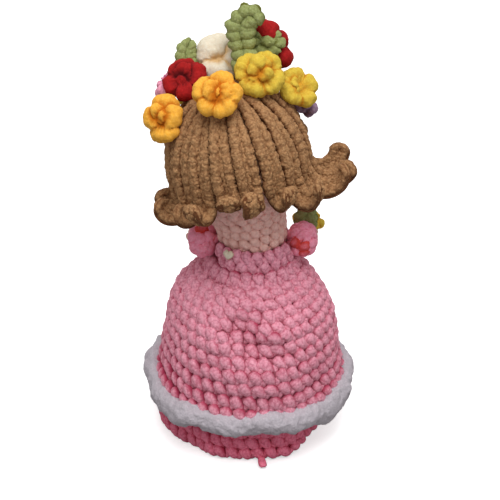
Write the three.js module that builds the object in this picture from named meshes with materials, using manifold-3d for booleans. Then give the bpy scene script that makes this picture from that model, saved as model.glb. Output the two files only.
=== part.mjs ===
// A crocheted doll in a flounced dress, with roses sewn to its hair and one held in its hand.
// Millimetres, +Z up. The doll faces -Y, and its hem and its soles stand on the plane z = 0.

import * as THREE from 'three';
import { mergeVertices } from 'three/addons/utils/BufferGeometryUtils.js';
import Module from 'manifold-3d';

const wasm = await Module();
wasm.setup();

const degrees = Math.PI / 180;
const turn = 2 * Math.PI;
const up = new THREE.Vector3(0, 0, 1);

// Clearances
const seam = 0.3; // between two pieces that are sewn or pressed together
const wrapGap = 0.6; // under the hair and the bodice, which are laid round what they cover
const waistGap = 0.8; // between the body and the skirts' waists
const cutOverrun = 4; // how far a cutter runs past what it cuts
const weld = 0.0003; // corners closer than this are one corner

// Body: the heights below are measured from the waist, where both skirts hang
const waistHeight = 146;
const neckRise = 26; // from the waist up to the centre of the neck's round seat
const torsoDrop = 46; // from the waist down to the torso's underside
const rimDrop = 12; // from the neck's centre down to the torso's rim
const rimWidth = 2.3; // of the torso's rim round the neck's dish
const neckRadius = 26;
const neckRimRadius = 31.5; // where the head rests in the neck's cup
const bodySegments = 20;

// Head
const headTilt = 10 * degrees; // the head leans to the doll's left
const headRadius = 46;
const headHalfHeight = 53;
const headRise = 7; // from the neck's centre up to the head's underside

// Face
const eyeRadius = 5.8;
const eyeDome = 3.4;
const eyeDrop = 11; // below the middle of the head
const eyeSpread = 21 * degrees;
const eyeRim = 0.4; // how far the eye laps over its pocket
const eyePostRadius = 1.6;
const eyePostLength = 7;
const washerThickness = 1.6;
const noseRadius = 2.6;
const noseDrop = 18; // below the middle of the head

// Hair
const hairThickness = 8;
const lockGap = 0.3;
const lockTop = 13 * degrees; // where a lock starts, from the crown of the head
const lockTipWidth = 12;
const lockTipThickness = 5.2;

// Roses and leaves on the head
const roseRadius = 16;
const roseHeight = 17;
const roseSegments = 15;
const petals = 5;
const tallRoseRadius = 18; // of the one that stands above the others
const stemRadius = 3.4;
const stemLength = 26;
const stemAzimuth = 216 * degrees;
const stemAngle = 34 * degrees;
const leafLength = 47;
const leafWidth = 15;
const leafThickness = 12;
const sepalLength = 31;
const sepalWidth = 25;
const sepalThickness = 7;
const sepalDrop = 8.5; // from the stem's top down to the sepal's foot
const sepalTurn = 78 * degrees;

// Bodice
const bodiceThickness = 5.4;
const bodiceDrop = 4; // from the neck's centre down to the bodice's rim

// Skirts
const fabric = 6; // one layer of single crochet in plush yarn
const overskirtHemRadius = 75.5;
const waveDepth = 1.6; // of the overskirt's hem
const trimLobes = 6; // an even count, so that opposite sides match
const hemLobes = 14;
const foldDepth = 4.5; // of the sagging fold across the back
const foldWidth = 7;
const foldFall = 39.5; // from the waist down to the fold
const foldSlant = 17; // from the fold's left end down to its right end
const bulgeDepth = 6; // the skirt stands fuller on its left
const bulgeFall = 22; // from the waist down to the bulge
const bulgeSpan = 17;
const trimOffset = 3.5; // from the overskirt's hem out to the middle of its fluffy edging
const trimHeight = 45;
const trimThickness = 13.6;
const trimDepth = 17;
const underskirtInset = 2; // from the overskirt's hem in to the underskirt's hem
const underskirtDrop = 2.5; // from the overskirt's waist down to the underskirt's waist
const underskirtShift = 11; // the hem stands to one side of the waist
const underskirtWave = 1.2;
const underskirtLobes = 7;

// Legs and shoes
const legRadius = 13.6;
const legGap = 2;
const hipDrop = 30; // from the waist down to the top of the leg
const shoeLength = 40;
const shoeWidth = 27;
const shoeHeight = 20;
const shoeGap = 13;
const shoeForward = 6;
const ankleShift = 5; // both feet stand a little to the side that the hem leans to

// Sleeves and arms
const sleeveRadius = 14.5;
const sleeveWidth = 21;
const sleeveRise = 2.5; // from the waist up to the sleeve's underside
const sleeveInset = 3.5; // how deep the sleeve is pressed into the bodice
const armLength = 41; // from the middle of the sleeve to the middle of the hand
const armRadius = 7.6;
const armSegments = 14;
const handRadius = 9.4;
const armOut = 6 * degrees;
const armDown = 21 * degrees;
const cuffAngle = 40 * degrees;

// The rose and the leaf in the right hand
const handRoseRadius = 12.6;
const handRoseHeight = 17;
const handRoseLean = 8 * degrees;
const handRoseSink = 3.4;
const handLeafLength = 22;
const handLeafWidth = 12;
const handLeafThickness = 2.2;

const yarn = (color, roughness = 0.95) => new THREE.MeshStandardMaterial({ color, roughness, metalness: 0 });
const skin = yarn('#f2c3a4');
const pink = yarn('#f0839f');
const deepPink = yarn('#e4708f');
const white = yarn('#f4f1ee');
const brown = yarn('#9a7048');
const amber = yarn('#f7b52c');
const yellow = yarn('#f1d53b');
const red = yarn('#a9121b');
const cream = yarn('#f1e2bf');
const rosePink = yarn('#f19ab4');
const lilac = yarn('#a57f9d');
const green = yarn('#7f9d54');
const shoePink = yarn('#d9607f');
const blackPlastic = yarn('#141214', 0.25);

const sides = [['left', 1], ['right', -1]];
const doll = new THREE.Group();

// A closed solid from a geometry, with its faces turned outwards.
function solidOf(geometry) {
  const bare = geometry.clone();
  bare.deleteAttribute('normal');
  bare.deleteAttribute('uv');
  const merged = mergeVertices(bare, weld);
  const place = merged.getAttribute('position');
  const index = Array.from(merged.index.array);
  const corner = i => new THREE.Vector3().fromBufferAttribute(place, i);
  const kept = [];
  let volume = 0;
  for (let i = 0; i < index.length; i += 3) {
    const [a, b, c] = index.slice(i, i + 3);
    if (a === b || b === c || c === a) continue;
    kept.push(a, b, c);
    volume += corner(a).dot(corner(b).cross(corner(c)));
  }
  const outward = volume > 0 ? kept : kept.reverse();
  return new wasm.Manifold(new wasm.Mesh({
    numProp: 3,
    vertProperties: Float32Array.from(place.array),
    triVerts: Uint32Array.from(outward),
  }));
}

// Adds a solid to the doll, or to a turned group of it, as a named mesh.
function addPiece(name, solid, material, parent = doll) {
  const mesh = solid.getMesh();
  const geometry = new THREE.BufferGeometry();
  geometry.setAttribute('position', new THREE.BufferAttribute(Float32Array.from(mesh.vertProperties), 3));
  geometry.setIndex(Array.from(mesh.triVerts));
  geometry.computeVertexNormals();
  const piece = new THREE.Mesh(geometry, material);
  piece.name = name;
  parent.add(piece);
}

// A solid of revolution round +Z from [radius, height] pairs.
function revolve(outline, segments) {
  const points = outline.map(([radius, height]) => new THREE.Vector2(radius, height));
  return new THREE.LatheGeometry(points, segments).rotateX(Math.PI / 2);
}

// Skins rings that have the same number of points, and closes both ends.
function loft(rings) {
  const count = rings[0].length;
  const middleOf = ring => ring.reduce((sum, p) => sum.add(p), new THREE.Vector3()).divideScalar(count);
  const points = [...rings.flat(), middleOf(rings[0]), middleOf(rings.at(-1))];
  const firstMiddle = points.length - 2;
  const lastRing = (rings.length - 1) * count;
  const index = [];
  for (let j = 0; j < count; j++) {
    const k = (j + 1) % count;
    for (let start = 0; start < lastRing; start += count) {
      index.push(start + j, start + k, start + count + k, start + j, start + count + k, start + count + j);
    }
    index.push(firstMiddle, k, j, firstMiddle + 1, lastRing + j, lastRing + k);
  }
  const geometry = new THREE.BufferGeometry().setFromPoints(points);
  geometry.setIndex(index);
  return geometry;
}

// Moves every corner of a geometry by a function of its place.
function reshape(geometry, move) {
  const place = geometry.getAttribute('position');
  for (let i = 0; i < place.count; i++) {
    const p = move(new THREE.Vector3().fromBufferAttribute(place, i));
    place.setXYZ(i, p.x, p.y, p.z);
  }
  return geometry;
}

// Points of an arc in the [radius, height] plane; angles are from the outward direction.
function arc(radius, from, to, steps, height = 0) {
  return Array.from({ length: steps + 1 }, (_, i) => {
    const angle = from + (to - from) * i / steps;
    return [radius * Math.cos(angle), height + radius * Math.sin(angle)];
  });
}

// An outline in shares of a radius and a height, grown outwards from the axis.
function sized(shares, radius, height, base = 0, grow = 0) {
  return shares.map(([radiusShare, heightShare]) => [
    radiusShare === 0 ? 0 : radiusShare * radius + grow,
    base + heightShare * height,
  ]);
}

// An outline in shares of the way from one radius to another.
function between(shares, inner, outer, height, base) {
  return sized(shares, outer - inner, height, base).map(([r, z]) => [inner + r, z]);
}

// The head's outline and its offsets; angles are from the crown of the head.
const headCentre = headRise + headHalfHeight; // above the neck's centre
function headPoint(angle, offset = 0) {
  const across = Math.sin(angle);
  const along = Math.cos(angle);
  const normal = new THREE.Vector2(across / headRadius, along / headHalfHeight).normalize();
  return [headRadius * across + normal.x * offset, headCentre + headHalfHeight * along + normal.y * offset];
}

function headOutline(from, to, steps, offset = 0) {
  return Array.from({ length: steps + 1 }, (_, i) => headPoint(from + (to - from) * i / steps, offset));
}

// Neck and head, in a group that leans at the neck's centre
const neckHeight = waistHeight + neckRise;
const head = new THREE.Group();
head.position.set(0, 0, neckHeight);
head.rotation.y = headTilt;
doll.add(head);

// A hollow grows by this much, so that its flats clear a faceted ball that turns in it.
const facetShare = 1 / Math.cos(Math.PI / bodySegments);

const rimAngle = Math.PI - Math.asin(neckRimRadius / headRadius);
const rimHeight = headPoint(rimAngle, seam)[1];
const neckFlareShares = [[0.1, 0.3], [0.55, 0.72]];
const neckOutline = [
  ...arc(neckRadius, -Math.PI / 2, 0, 6),
  ...between(neckFlareShares, neckRadius, neckRimRadius, rimHeight, 0),
  ...headOutline(rimAngle, Math.PI, 5, seam).map(([r, z]) => [r * facetShare, z]),
];
addPiece('neck', solidOf(revolve(neckOutline, bodySegments)), skin, head);

// The frame of a piece that stands on the head, turned so that its own +Z points away from the head.
function onHead(azimuth, angle, offset) {
  const [radius, height] = headPoint(angle, offset);
  const [outRadius, outHeight] = headPoint(angle, offset + headRadius);
  const around = new THREE.Vector3(Math.cos(azimuth), Math.sin(azimuth), 0);
  const foot = around.clone().multiplyScalar(radius).setZ(height);
  const tip = around.clone().multiplyScalar(outRadius).setZ(outHeight);
  const spin = new THREE.Quaternion().setFromUnitVectors(up, tip.sub(foot).normalize());
  return new THREE.Matrix4().compose(foot, spin, new THREE.Vector3(1, 1, 1));
}

// Eyes with a post, each held by a washer in a pocket of the head
const front = -Math.PI / 2;
const eyeAngle = Math.acos(-eyeDrop / headHalfHeight);
const pocketRadius = eyeRadius - eyeRim;
const pocketDepth = eyePostLength + 2 * seam;
const eyeShares = [[0.86, 0.55], [0.55, 0.88], [0, 1]];
const eyeOutline = [
  [0, -eyePostLength],
  [eyePostRadius, -eyePostLength],
  [eyePostRadius, seam],
  [eyeRadius, seam],
  ...sized(eyeShares, eyeRadius, eyeDome),
];
const pocketOutline = [
  [0, -pocketDepth],
  [pocketRadius, -pocketDepth],
  [pocketRadius, cutOverrun],
  [0, cutOverrun],
];
const washerLow = seam - pocketDepth;
const washerOutline = [
  [eyePostRadius + seam, washerLow],
  [pocketRadius - seam, washerLow],
  [pocketRadius - seam, washerLow + washerThickness],
  [eyePostRadius + seam, washerLow + washerThickness],
  [eyePostRadius + seam, washerLow],
];
let skull = solidOf(revolve(headOutline(0, Math.PI, 12), 24));
for (const [side, sign] of sides) {
  const seat = onHead(front + sign * eyeSpread, eyeAngle, 0);
  skull = skull.subtract(solidOf(revolve(pocketOutline, 12).applyMatrix4(seat)));
  addPiece(`eye_${side}`, solidOf(revolve(eyeOutline, 12).applyMatrix4(seat)), blackPlastic, head);
  addPiece(`eye_washer_${side}`, solidOf(revolve(washerOutline, 12).applyMatrix4(seat)), white, head);
}
addPiece('head', skull, skin, head);

const noseAngle = Math.acos(-noseDrop / headHalfHeight);
const noseShares = [[0, 0], [1, 0], [0.8, 0.6], [0, 1]];
const noseOutline = sized(noseShares, noseRadius, noseRadius);
addPiece('nose', solidOf(revolve(noseOutline, 8).applyMatrix4(onHead(front, noseAngle, seam))), skin, head);

// Hair: crocheted strips that are sewn on at the crown, each with two ridges and a curled end.
// A strip lies on the head down to its angle, and then curls outwards.
const lockShares = [
  // angle down the head, share of half a turn; curl's radius, share of the hair's thickness; curl's sweep
  [0.6, 1.3, 0.7], [0.6, 1.3, 0.7], [0.575, 1.2, 0.72], [0.55, 1.3, 0.7], [0.545, 1.15, 0.7],
  [0.55, 1.3, 0.66], [0.56, 1.2, 0.72], [0.565, 1.5, 0.7], [0.575, 1.9, 0.62], [0.59, 2.3, 0.56],
  [0.575, 2, 0.6], [0.44, 1.3, 0.4], [0.34, 1.1, 0.3], [0.32, 1.1, 0.3], [0.34, 1.1, 0.3], [0.44, 1.3, 0.4],
  [0.56, 1.4, 0.6], [0.58, 1.3, 0.66],
];
const lockCount = lockShares.length;
const ridgeShares = [[-1, 0], [1, 0], [1, 0.55], [0.52, 1], [0, 0.68], [-0.52, 1], [-1, 0.55]];
const headSteps = 7;
const curlSteps = 6;

function hairLock(azimuth, [angleShare, curlShare, sweepShare]) {
  const bottom = angleShare * Math.PI;
  const curlRadius = curlShare * hairThickness;
  const out = new THREE.Vector3(Math.cos(azimuth), Math.sin(azimuth), 0);
  const across = new THREE.Vector3(-Math.sin(azimuth), Math.cos(azimuth), 0);
  const halfWedge = Math.tan(Math.PI / lockCount);
  const rings = [];
  const addRing = (radius, height, lean, thickness, widest) => {
    const half = Math.min(radius * halfWedge - lockGap / 2, widest);
    rings.push(ridgeShares.map(([widthShare, depthShare]) => out.clone()
      .multiplyScalar(radius + Math.cos(lean) * depthShare * thickness)
      .setZ(height + Math.sin(lean) * depthShare * thickness)
      .addScaledVector(across, widthShare * half)));
  };
  let lean = 0;
  for (let i = 0; i <= headSteps; i++) {
    const angle = lockTop + (bottom - lockTop) * i / headSteps;
    const [radius, height] = headPoint(angle, wrapGap);
    lean = Math.atan2(Math.cos(angle) / headHalfHeight, Math.sin(angle) / headRadius);
    addRing(radius, height, lean, hairThickness, headRadius);
  }
  const [endRadius, endHeight] = headPoint(bottom, wrapGap);
  const curlMiddle = [endRadius + Math.cos(lean) * curlRadius, endHeight + Math.sin(lean) * curlRadius];
  const widestAtEnd = endRadius * halfWedge;
  for (let i = 1; i <= curlSteps; i++) {
    const share = i / curlSteps;
    const turned = lean + share * sweepShare * turn;
    addRing(
      curlMiddle[0] - Math.cos(turned) * curlRadius,
      curlMiddle[1] - Math.sin(turned) * curlRadius,
      turned,
      hairThickness + (lockTipThickness - hairThickness) * share,
      widestAtEnd + (lockTipWidth / 2 - widestAtEnd) * share,
    );
  }
  return loft(rings);
}

lockShares.forEach((shares, i) => {
  const number = String(i + 1).padStart(2, '0');
  addPiece(`hair_lock_${number}`, solidOf(hairLock(i * turn / lockCount, shares)), brown, head);
});

// Roses: each is a ribbon rolled up, with petals that swirl round a dented middle.
const roseShares = [
  [0, 0], [0.6, 0], [0.96, 0.26], [1, 0.55], [0.84, 0.86], [0.58, 1], [0.36, 0.88], [0, 0.66],
];
const petalShare = 0.08;
const swirl = 126 * degrees;

function rose(radius, height, grow = 0) {
  const outline = sized(roseShares, radius, height + 2 * grow, -grow, grow);
  return reshape(revolve(outline, roseSegments), p => {
    const around = Math.atan2(p.y, p.x);
    const swell = 1 + petalShare * Math.cos(petals * around + swirl * p.z / height);
    return new THREE.Vector3(p.x * swell, p.y * swell, p.z);
  });
}

// Leaves: a strip of crochet along a curve in its own x-z plane, given in shares of its length.
const leafSteps = 9;
const leafWidthShares = [0.46, 0.72, 0.88, 0.96, 1, 1, 0.95, 0.86, 0.66, 0.3];
const leafSectionShares = [[-1, 0], [-0.5, -1], [0.5, -1], [1, 0], [0.5, 1], [-0.5, 1]];
const leafTipShare = 0.55;

function leaf(length, width, thickness, pathShares, grow = 0) {
  const path = new THREE.CatmullRomCurve3(pathShares.map(([x, z]) => new THREE.Vector3(x, 0, z)));
  const rings = leafWidthShares.map((widthShare, i) => {
    const share = i / leafSteps;
    const along = path.getTangent(share);
    const normal = new THREE.Vector3(along.z, 0, -along.x);
    const endGrow = i === 0 ? -grow : i === leafSteps ? grow : 0;
    const middle = path.getPoint(share).multiplyScalar(length).addScaledVector(along, endGrow);
    const half = widthShare * width / 2 + grow;
    const thick = (i === leafSteps ? leafTipShare : 1) * thickness / 2 + grow;
    return leafSectionShares.map(([acrossShare, depthShare]) => middle.clone()
      .addScaledVector(new THREE.Vector3(0, 1, 0), acrossShare * half)
      .addScaledVector(normal, depthShare * thick));
  });
  return loft(rings);
}

// What is sewn to the hair is pressed against what was sewn on before it, and is cut by it.
const sewnOn = [];
function sewToHair(name, shapeOf, seat, material) {
  const whole = solidOf(shapeOf(0).applyMatrix4(seat));
  const solid = sewnOn.reduce((rest, other) => rest.subtract(other), whole);
  sewnOn.push(solidOf(shapeOf(seam).applyMatrix4(seat)));
  addPiece(name, solid, material, head);
}

const hairTop = wrapGap + hairThickness;
const crownRoseShares = [
  // name, azimuth and angle from the crown in degrees, shares of a rose's radius and height, material
  ['rose_amber_left', 20, 46, 1.09, 1, amber],
  ['rose_red_left', 349, 23.5, 0.9, 1, red],
  ['rose_amber_back', 84, 28, 1.15, 1, amber],
  ['rose_yellow_back', 168, 23, 1.03, 1, yellow],
  ['rose_yellow_right', 186, 52, 1, 1, yellow],
  ['rose_cream_top', 270, 22, 0.96, 1.3, cream],
  ['rose_pink_left', 340, 54, 0.9, 1, rosePink],
  ['rose_yellow_front', 306, 51, 0.84, 0.88, yellow],
  ['rose_red_front', 275, 54, 0.81, 0.88, red],
  ['rose_amber_front', 244, 50, 0.87, 0.88, amber],
  ['rose_lilac_right', 214, 68, 0.88, 0.88, lilac],
];
for (const [name, azimuth, angle, radiusShare, heightShare, material] of crownRoseShares) {
  const seat = onHead(azimuth * degrees, angle * degrees, hairTop + seam);
  sewToHair(name, grow => rose(radiusShare * roseRadius, heightShare * roseHeight, grow), seat, material);
}

// One red rose stands above the others on a stem.
const stemShares = [[0, 0], [1, 0], [1, 1], [0, 1]];
const stemSeat = onHead(stemAzimuth, stemAngle, hairTop + seam);
const stem = grow => revolve(sized(stemShares, stemRadius, stemLength, 0, grow), 8);
sewToHair('crown_stem', stem, stemSeat, green);
const tallSeat = onHead(stemAzimuth, stemAngle, hairTop + stemLength + 2 * seam);
sewToHair('rose_red_top', grow => rose(tallRoseRadius, roseHeight, grow), tallSeat, red);

// Its own leaf grows out of the stem, and cups the rose from behind.
const cupShares = [[0, 0], [0.26, 0.02], [0.48, 0.12], [0.58, 0.38], [0.56, 0.68]];
const sepalSeat = onHead(stemAzimuth, stemAngle, hairTop + stemLength - sepalDrop)
  .multiply(new THREE.Matrix4().makeRotationZ(sepalTurn))
  .multiply(new THREE.Matrix4().makeTranslation(stemRadius + seam, 0, 0));
const sepal = grow => leaf(sepalLength, sepalWidth, sepalThickness, cupShares, grow);
sewToHair('leaf_side', sepal, sepalSeat, green);

const hookShares = [[0, 0], [-0.12, 0.26], [-0.17, 0.56], [-0.1, 0.84], [0.1, 0.93], [0.24, 0.8]];
const bowShares = [[0, 0], [0.02, 0.36], [0.16, 0.7], [0.36, 0.96]];
const crownLeafShares = [
  // name, azimuth and angle from the crown and turn about its own axis in degrees, shares of length and
  // width, curve
  ['leaf_tall', 200, 15, 172, 1, 1, hookShares],
  ['leaf_left', 320, 28, 190, 0.62, 0.95, bowShares],
];
for (const [name, azimuth, angle, spin, lengthShare, widthShare, curveShares] of crownLeafShares) {
  const seat = onHead(azimuth * degrees, angle * degrees, hairTop + seam + leafThickness / 2)
    .multiply(new THREE.Matrix4().makeRotationZ(spin * degrees));
  const [length, width] = [lengthShare * leafLength, widthShare * leafWidth];
  const strip = grow => leaf(length, width, leafThickness, curveShares, grow);
  sewToHair(name, strip, seat, green);
}

// Torso: stuffed, with a round dish on top where the neck's ball sits
const torsoBottom = waistHeight - torsoDrop;
const torsoRim = neckHeight - rimDrop;
const dishRadius = (neckRadius + seam) * facetShare;
const dishAngle = Math.asin(rimDrop / dishRadius);
const torsoRadius = dishRadius * Math.cos(dishAngle) + rimWidth;
const torsoShares = [
  [0, 0], [0.42, 0.015], [0.8, 0.08], [1.02, 0.2], [1.06, 0.34], [1.02, 0.5], [1, 0.64], [1, 1],
];
function torsoSolid(grow = 0) {
  const outside = sized(torsoShares, torsoRadius, torsoRim - torsoBottom + grow, torsoBottom - grow, grow);
  const dish = arc(dishRadius, -dishAngle, -Math.PI / 2, 5, neckHeight);
  return solidOf(revolve([...outside, ...dish], bodySegments));
}
addPiece('torso', torsoSolid(), skin);

// Bodice: a ring of fabric round the torso, hollowed a little where the sleeves sit
const bodiceInner = torsoRadius + wrapGap;
const bodiceOuter = bodiceInner + bodiceThickness;
const bodiceBottom = waistHeight + seam;
const bodiceHeight = neckHeight - bodiceDrop - bodiceBottom;
const bodiceShares = [
  [0.15, 0], [1, 0], [1.06, 0.3], [1, 0.75], [0.7, 1], [0.15, 1], [0, 0.9], [0, 0.1], [0.15, 0],
];

// Puffed sleeves: round about the shoulder's axis, so that they can turn with the arms
const shoulderHeight = waistHeight + sleeveRise + sleeveRadius;
const sleeveInner = bodiceOuter - sleeveInset;
const sleeveShares = [[0, 0], [0.5, 0], [0.84, 0.2], [1, 0.52], [0.9, 0.8], [0.56, 1], [0, 1]];
function sleeveSolid(sign, grow = 0) {
  return solidOf(revolve(sized(sleeveShares, sleeveRadius, sleeveWidth + 2 * grow, -grow, grow), 20)
    .rotateY(sign * Math.PI / 2)
    .translate(sign * sleeveInner, 0, shoulderHeight));
}

const bodiceOutline = between(bodiceShares, bodiceInner, bodiceOuter, bodiceHeight, bodiceBottom);
let bodice = solidOf(revolve(bodiceOutline, 28));
for (const [, sign] of sides) bodice = bodice.subtract(sleeveSolid(sign, seam));
addPiece('bodice', bodice, pink);

// Skirts: two draped shells that hang from the waist, the wide one with a fluffy edging
const waistRadius = torsoRadius + waistGap;
const trimRadius = overskirtHemRadius + trimOffset;
const trimRoundShare = Math.sqrt(1 - (trimOffset / (trimThickness / 2)) ** 2);
const hemHeight = trimHeight + trimRoundShare * trimDepth / 2 + seam;
const underskirtTop = waistHeight - fabric - underskirtDrop;
const underskirtHemRadius = overskirtHemRadius - fabric - underskirtInset;
const overskirtShares = [
  [0, 1], [0.18, 0.95], [0.37, 0.865], [0.53, 0.76], [0.675, 0.64], [0.79, 0.51], [0.87, 0.36],
  [0.93, 0.19], [1, 0],
];
const underskirtShares = [
  [0.1, 1], [0.22, 0.93], [0.385, 0.84], [0.535, 0.74], [0.65, 0.63], [0.75, 0.51], [0.85, 0.37], [0.94, 0.2],
  [1, 0.06], [0.985, 0],
];

// The inner side of a wall, from its outer side's points, with the waist's ring at its top.
function innerSide(outer) {
  const inner = outer.map(([r, z], i) => {
    const [r0, z0] = outer[Math.max(i - 1, 0)];
    const [r1, z1] = outer[Math.min(i + 1, outer.length - 1)];
    const length = Math.hypot(r1 - r0, z1 - z0);
    return [r + (z1 - z0) / length * fabric, z - (r1 - r0) / length * fabric];
  });
  const bottom = outer.at(-1);
  inner[inner.length - 1] = [bottom[0] - fabric, bottom[1]];
  inner[0] = [waistRadius, outer[0][1] - fabric];
  return [...inner.reverse(), [waistRadius, outer[0][1]]];
}

function shell(outer, segments) {
  return revolve([...outer, ...innerSide(outer), outer[0]], segments);
}

const hemLobeShare = 0.45;
const liftShare = 0.5;
function drapeOverskirt(p) {
  const around = Math.atan2(p.y, p.x);
  const reach = Math.hypot(p.x, p.y);
  const down = THREE.MathUtils.clamp((waistHeight - p.z) / (waistHeight - trimHeight), 0, 1);
  const lobes = Math.cos(trimLobes * around + 1) + hemLobeShare * Math.cos(hemLobes * around);
  const wave = waveDepth * lobes * down ** 1.5;
  const belowFold = (waistHeight - foldFall + foldSlant * Math.cos(around) / 2 - p.z) / foldWidth;
  const atBack = Math.max(0, Math.sin(around)) ** 2;
  const fold = -foldDepth * atBack * belowFold * Math.exp(-(belowFold ** 2));
  const belowBulge = (waistHeight - bulgeFall - p.z) / bulgeSpan;
  const atSide = Math.max(0, Math.cos(around)) ** 2 * (reach > bodiceOuter ? 1 : 0);
  const bulge = bulgeDepth * atSide * Math.exp(-(belowBulge ** 2));
  const swell = 1 + (wave + fold + bulge) / Math.max(reach, torsoRadius);
  return new THREE.Vector3(p.x * swell, p.y * swell, p.z + liftShare * wave);
}

const skirtLength = waistHeight - hemHeight;
const overskirtOutline = between(overskirtShares, bodiceOuter, overskirtHemRadius, skirtLength, hemHeight);
addPiece('overskirt', solidOf(reshape(shell(overskirtOutline, 40), drapeOverskirt)), pink);

const trim = new THREE.TorusGeometry(trimRadius, trimThickness / 2, 8, 60)
  .scale(1, 1, trimDepth / trimThickness)
  .translate(0, 0, trimHeight);
addPiece('skirt_trim', solidOf(reshape(trim, drapeOverskirt)), white);

function drapeUnderskirt(p) {
  const around = Math.atan2(p.y, p.x);
  const down = THREE.MathUtils.clamp(1 - p.z / underskirtTop, 0, 1);
  const swell = 1 + underskirtWave * down * Math.cos(underskirtLobes * around) / underskirtHemRadius;
  return new THREE.Vector3(p.x * swell + underskirtShift * down ** 2, p.y * swell, p.z);
}

const underskirtOutline = between(underskirtShares, waistRadius, underskirtHemRadius, underskirtTop, 0);
addPiece('underskirt', solidOf(reshape(shell(underskirtOutline, 32), drapeUnderskirt)), deepPink);

// Legs and shoes
const hipHeight = waistHeight - hipDrop;
const hipSpread = legRadius + legGap / 2;
const ankleSpread = (shoeWidth + shoeGap) / 2;
const soleShare = 0.4; // how much of a shoe's round body lies below its middle, where the sole cuts it
const legShares = [
  [0, 0], [0.6, 0.02], [0.72, 0.1], [0.78, 0.3], [0.9, 0.52], [1, 0.75], [0.96, 0.9], [0.7, 0.98], [0, 1],
];
function shoeSolid(sign, grow = 0) {
  const middle = [sign * ankleSpread + ankleShift, -shoeForward, shoeHeight * soleShare];
  const ball = new THREE.SphereGeometry(1, 18, 8)
    .rotateX(Math.PI / 2)
    .scale(shoeWidth / 2 + grow, shoeLength / 2 + grow, shoeHeight * (1 - soleShare) + grow)
    .translate(...middle);
  const block = new THREE.BoxGeometry(2 * shoeWidth, 2 * shoeLength, 2 * shoeHeight)
    .translate(middle[0], middle[1], -shoeHeight);
  return solidOf(ball).subtract(solidOf(block));
}
for (const [side, sign] of sides) {
  const hip = new THREE.Vector3(sign * hipSpread, 0, hipHeight);
  const ankle = new THREE.Vector3(sign * ankleSpread + ankleShift, 0, shoeHeight / 2);
  const along = hip.clone().sub(ankle);
  const spin = new THREE.Quaternion().setFromUnitVectors(up, along.clone().normalize());
  const seat = new THREE.Matrix4().compose(ankle, spin, new THREE.Vector3(1, 1, 1));
  const stuffed = solidOf(revolve(sized(legShares, legRadius, along.length()), 16).applyMatrix4(seat));
  addPiece(`leg_${side}`, stuffed.subtract(torsoSolid(seam)).subtract(shoeSolid(sign, seam)), skin);
  addPiece(`shoe_${side}`, shoeSolid(sign), shoePink);
}

// Arms, each with its sleeve; the right hand holds a rose and a leaf
const armShares = [[0, 0], [0.8, 0.02], [1, 0.16], [0.94, 0.42], [0.86, 0.62]];
function armSeat(sign) {
  const shoulder = new THREE.Vector3(sign * (sleeveInner + sleeveWidth / 2), 0, shoulderHeight);
  const reach = new THREE.Vector3(
    sign * Math.sin(armOut),
    -Math.cos(armOut) * Math.cos(armDown),
    -Math.cos(armOut) * Math.sin(armDown),
  );
  const spin = new THREE.Quaternion().setFromUnitVectors(up, reach);
  return new THREE.Matrix4().compose(shoulder, spin, new THREE.Vector3(1, 1, 1));
}
function armSolid(sign, grow = 0) {
  const outline = [
    ...sized(armShares, armRadius, armLength, 0, grow),
    ...arc(handRadius + grow, -cuffAngle, Math.PI / 2, 5, armLength),
  ];
  return solidOf(revolve(outline, armSegments).applyMatrix4(armSeat(sign)));
}
for (const [side, sign] of sides) {
  addPiece(`puff_sleeve_${side}`, sleeveSolid(sign), pink);
  addPiece(`arm_${side}`, armSolid(sign).subtract(sleeveSolid(sign, seam)), skin);
}

const hand = new THREE.Vector3(0, 0, armLength).applyMatrix4(armSeat(-1));
const roseLean = new THREE.Vector3(-Math.sin(handRoseLean), 0, Math.cos(handRoseLean));
const roseSpin = new THREE.Quaternion().setFromUnitVectors(up, roseLean);
const roseFoot = hand.clone().addScaledVector(roseLean, handRadius - handRoseSink);
const roseSeat = new THREE.Matrix4().compose(roseFoot, roseSpin, new THREE.Vector3(1, 1, 1));
const handRose = grow => solidOf(rose(handRoseRadius, handRoseHeight, grow).applyMatrix4(roseSeat));
addPiece('hand_rose', handRose(0).subtract(armSolid(-1, seam)), yellow);

const uprightShares = [[0, 0], [0.02, 0.35], [0.04, 0.7], [-0.02, 1]];
const leafPlace = new THREE.Vector3(0, 0, sleeveRadius + 2 * handLeafThickness).applyMatrix4(armSeat(-1));
const handLeaf = solidOf(leaf(handLeafLength, handLeafWidth, handLeafThickness, uprightShares)
  .rotateZ(Math.PI / 2)
  .translate(leafPlace.x, leafPlace.y, leafPlace.z));
addPiece('hand_leaf', handLeaf.subtract(armSolid(-1, seam)).subtract(handRose(seam)), green);

export default doll;
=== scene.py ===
import math
import random

import bmesh
import bpy
from mathutils import Matrix, Vector, noise
from mathutils.bvhtree import BVHTree


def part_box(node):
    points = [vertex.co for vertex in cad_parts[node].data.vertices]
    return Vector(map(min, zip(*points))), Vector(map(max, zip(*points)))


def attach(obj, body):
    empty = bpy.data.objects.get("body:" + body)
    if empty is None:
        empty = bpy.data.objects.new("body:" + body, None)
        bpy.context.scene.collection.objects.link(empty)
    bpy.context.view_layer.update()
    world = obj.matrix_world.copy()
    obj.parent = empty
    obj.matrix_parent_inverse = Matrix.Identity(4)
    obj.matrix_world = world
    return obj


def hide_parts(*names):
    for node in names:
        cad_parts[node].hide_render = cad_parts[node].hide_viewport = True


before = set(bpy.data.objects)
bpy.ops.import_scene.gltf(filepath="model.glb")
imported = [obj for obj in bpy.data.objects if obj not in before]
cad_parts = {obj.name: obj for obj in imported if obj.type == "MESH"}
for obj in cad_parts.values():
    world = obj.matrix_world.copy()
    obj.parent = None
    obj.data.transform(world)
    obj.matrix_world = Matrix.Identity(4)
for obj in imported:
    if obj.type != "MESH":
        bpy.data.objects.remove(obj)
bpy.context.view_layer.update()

mm = 0.001
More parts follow.
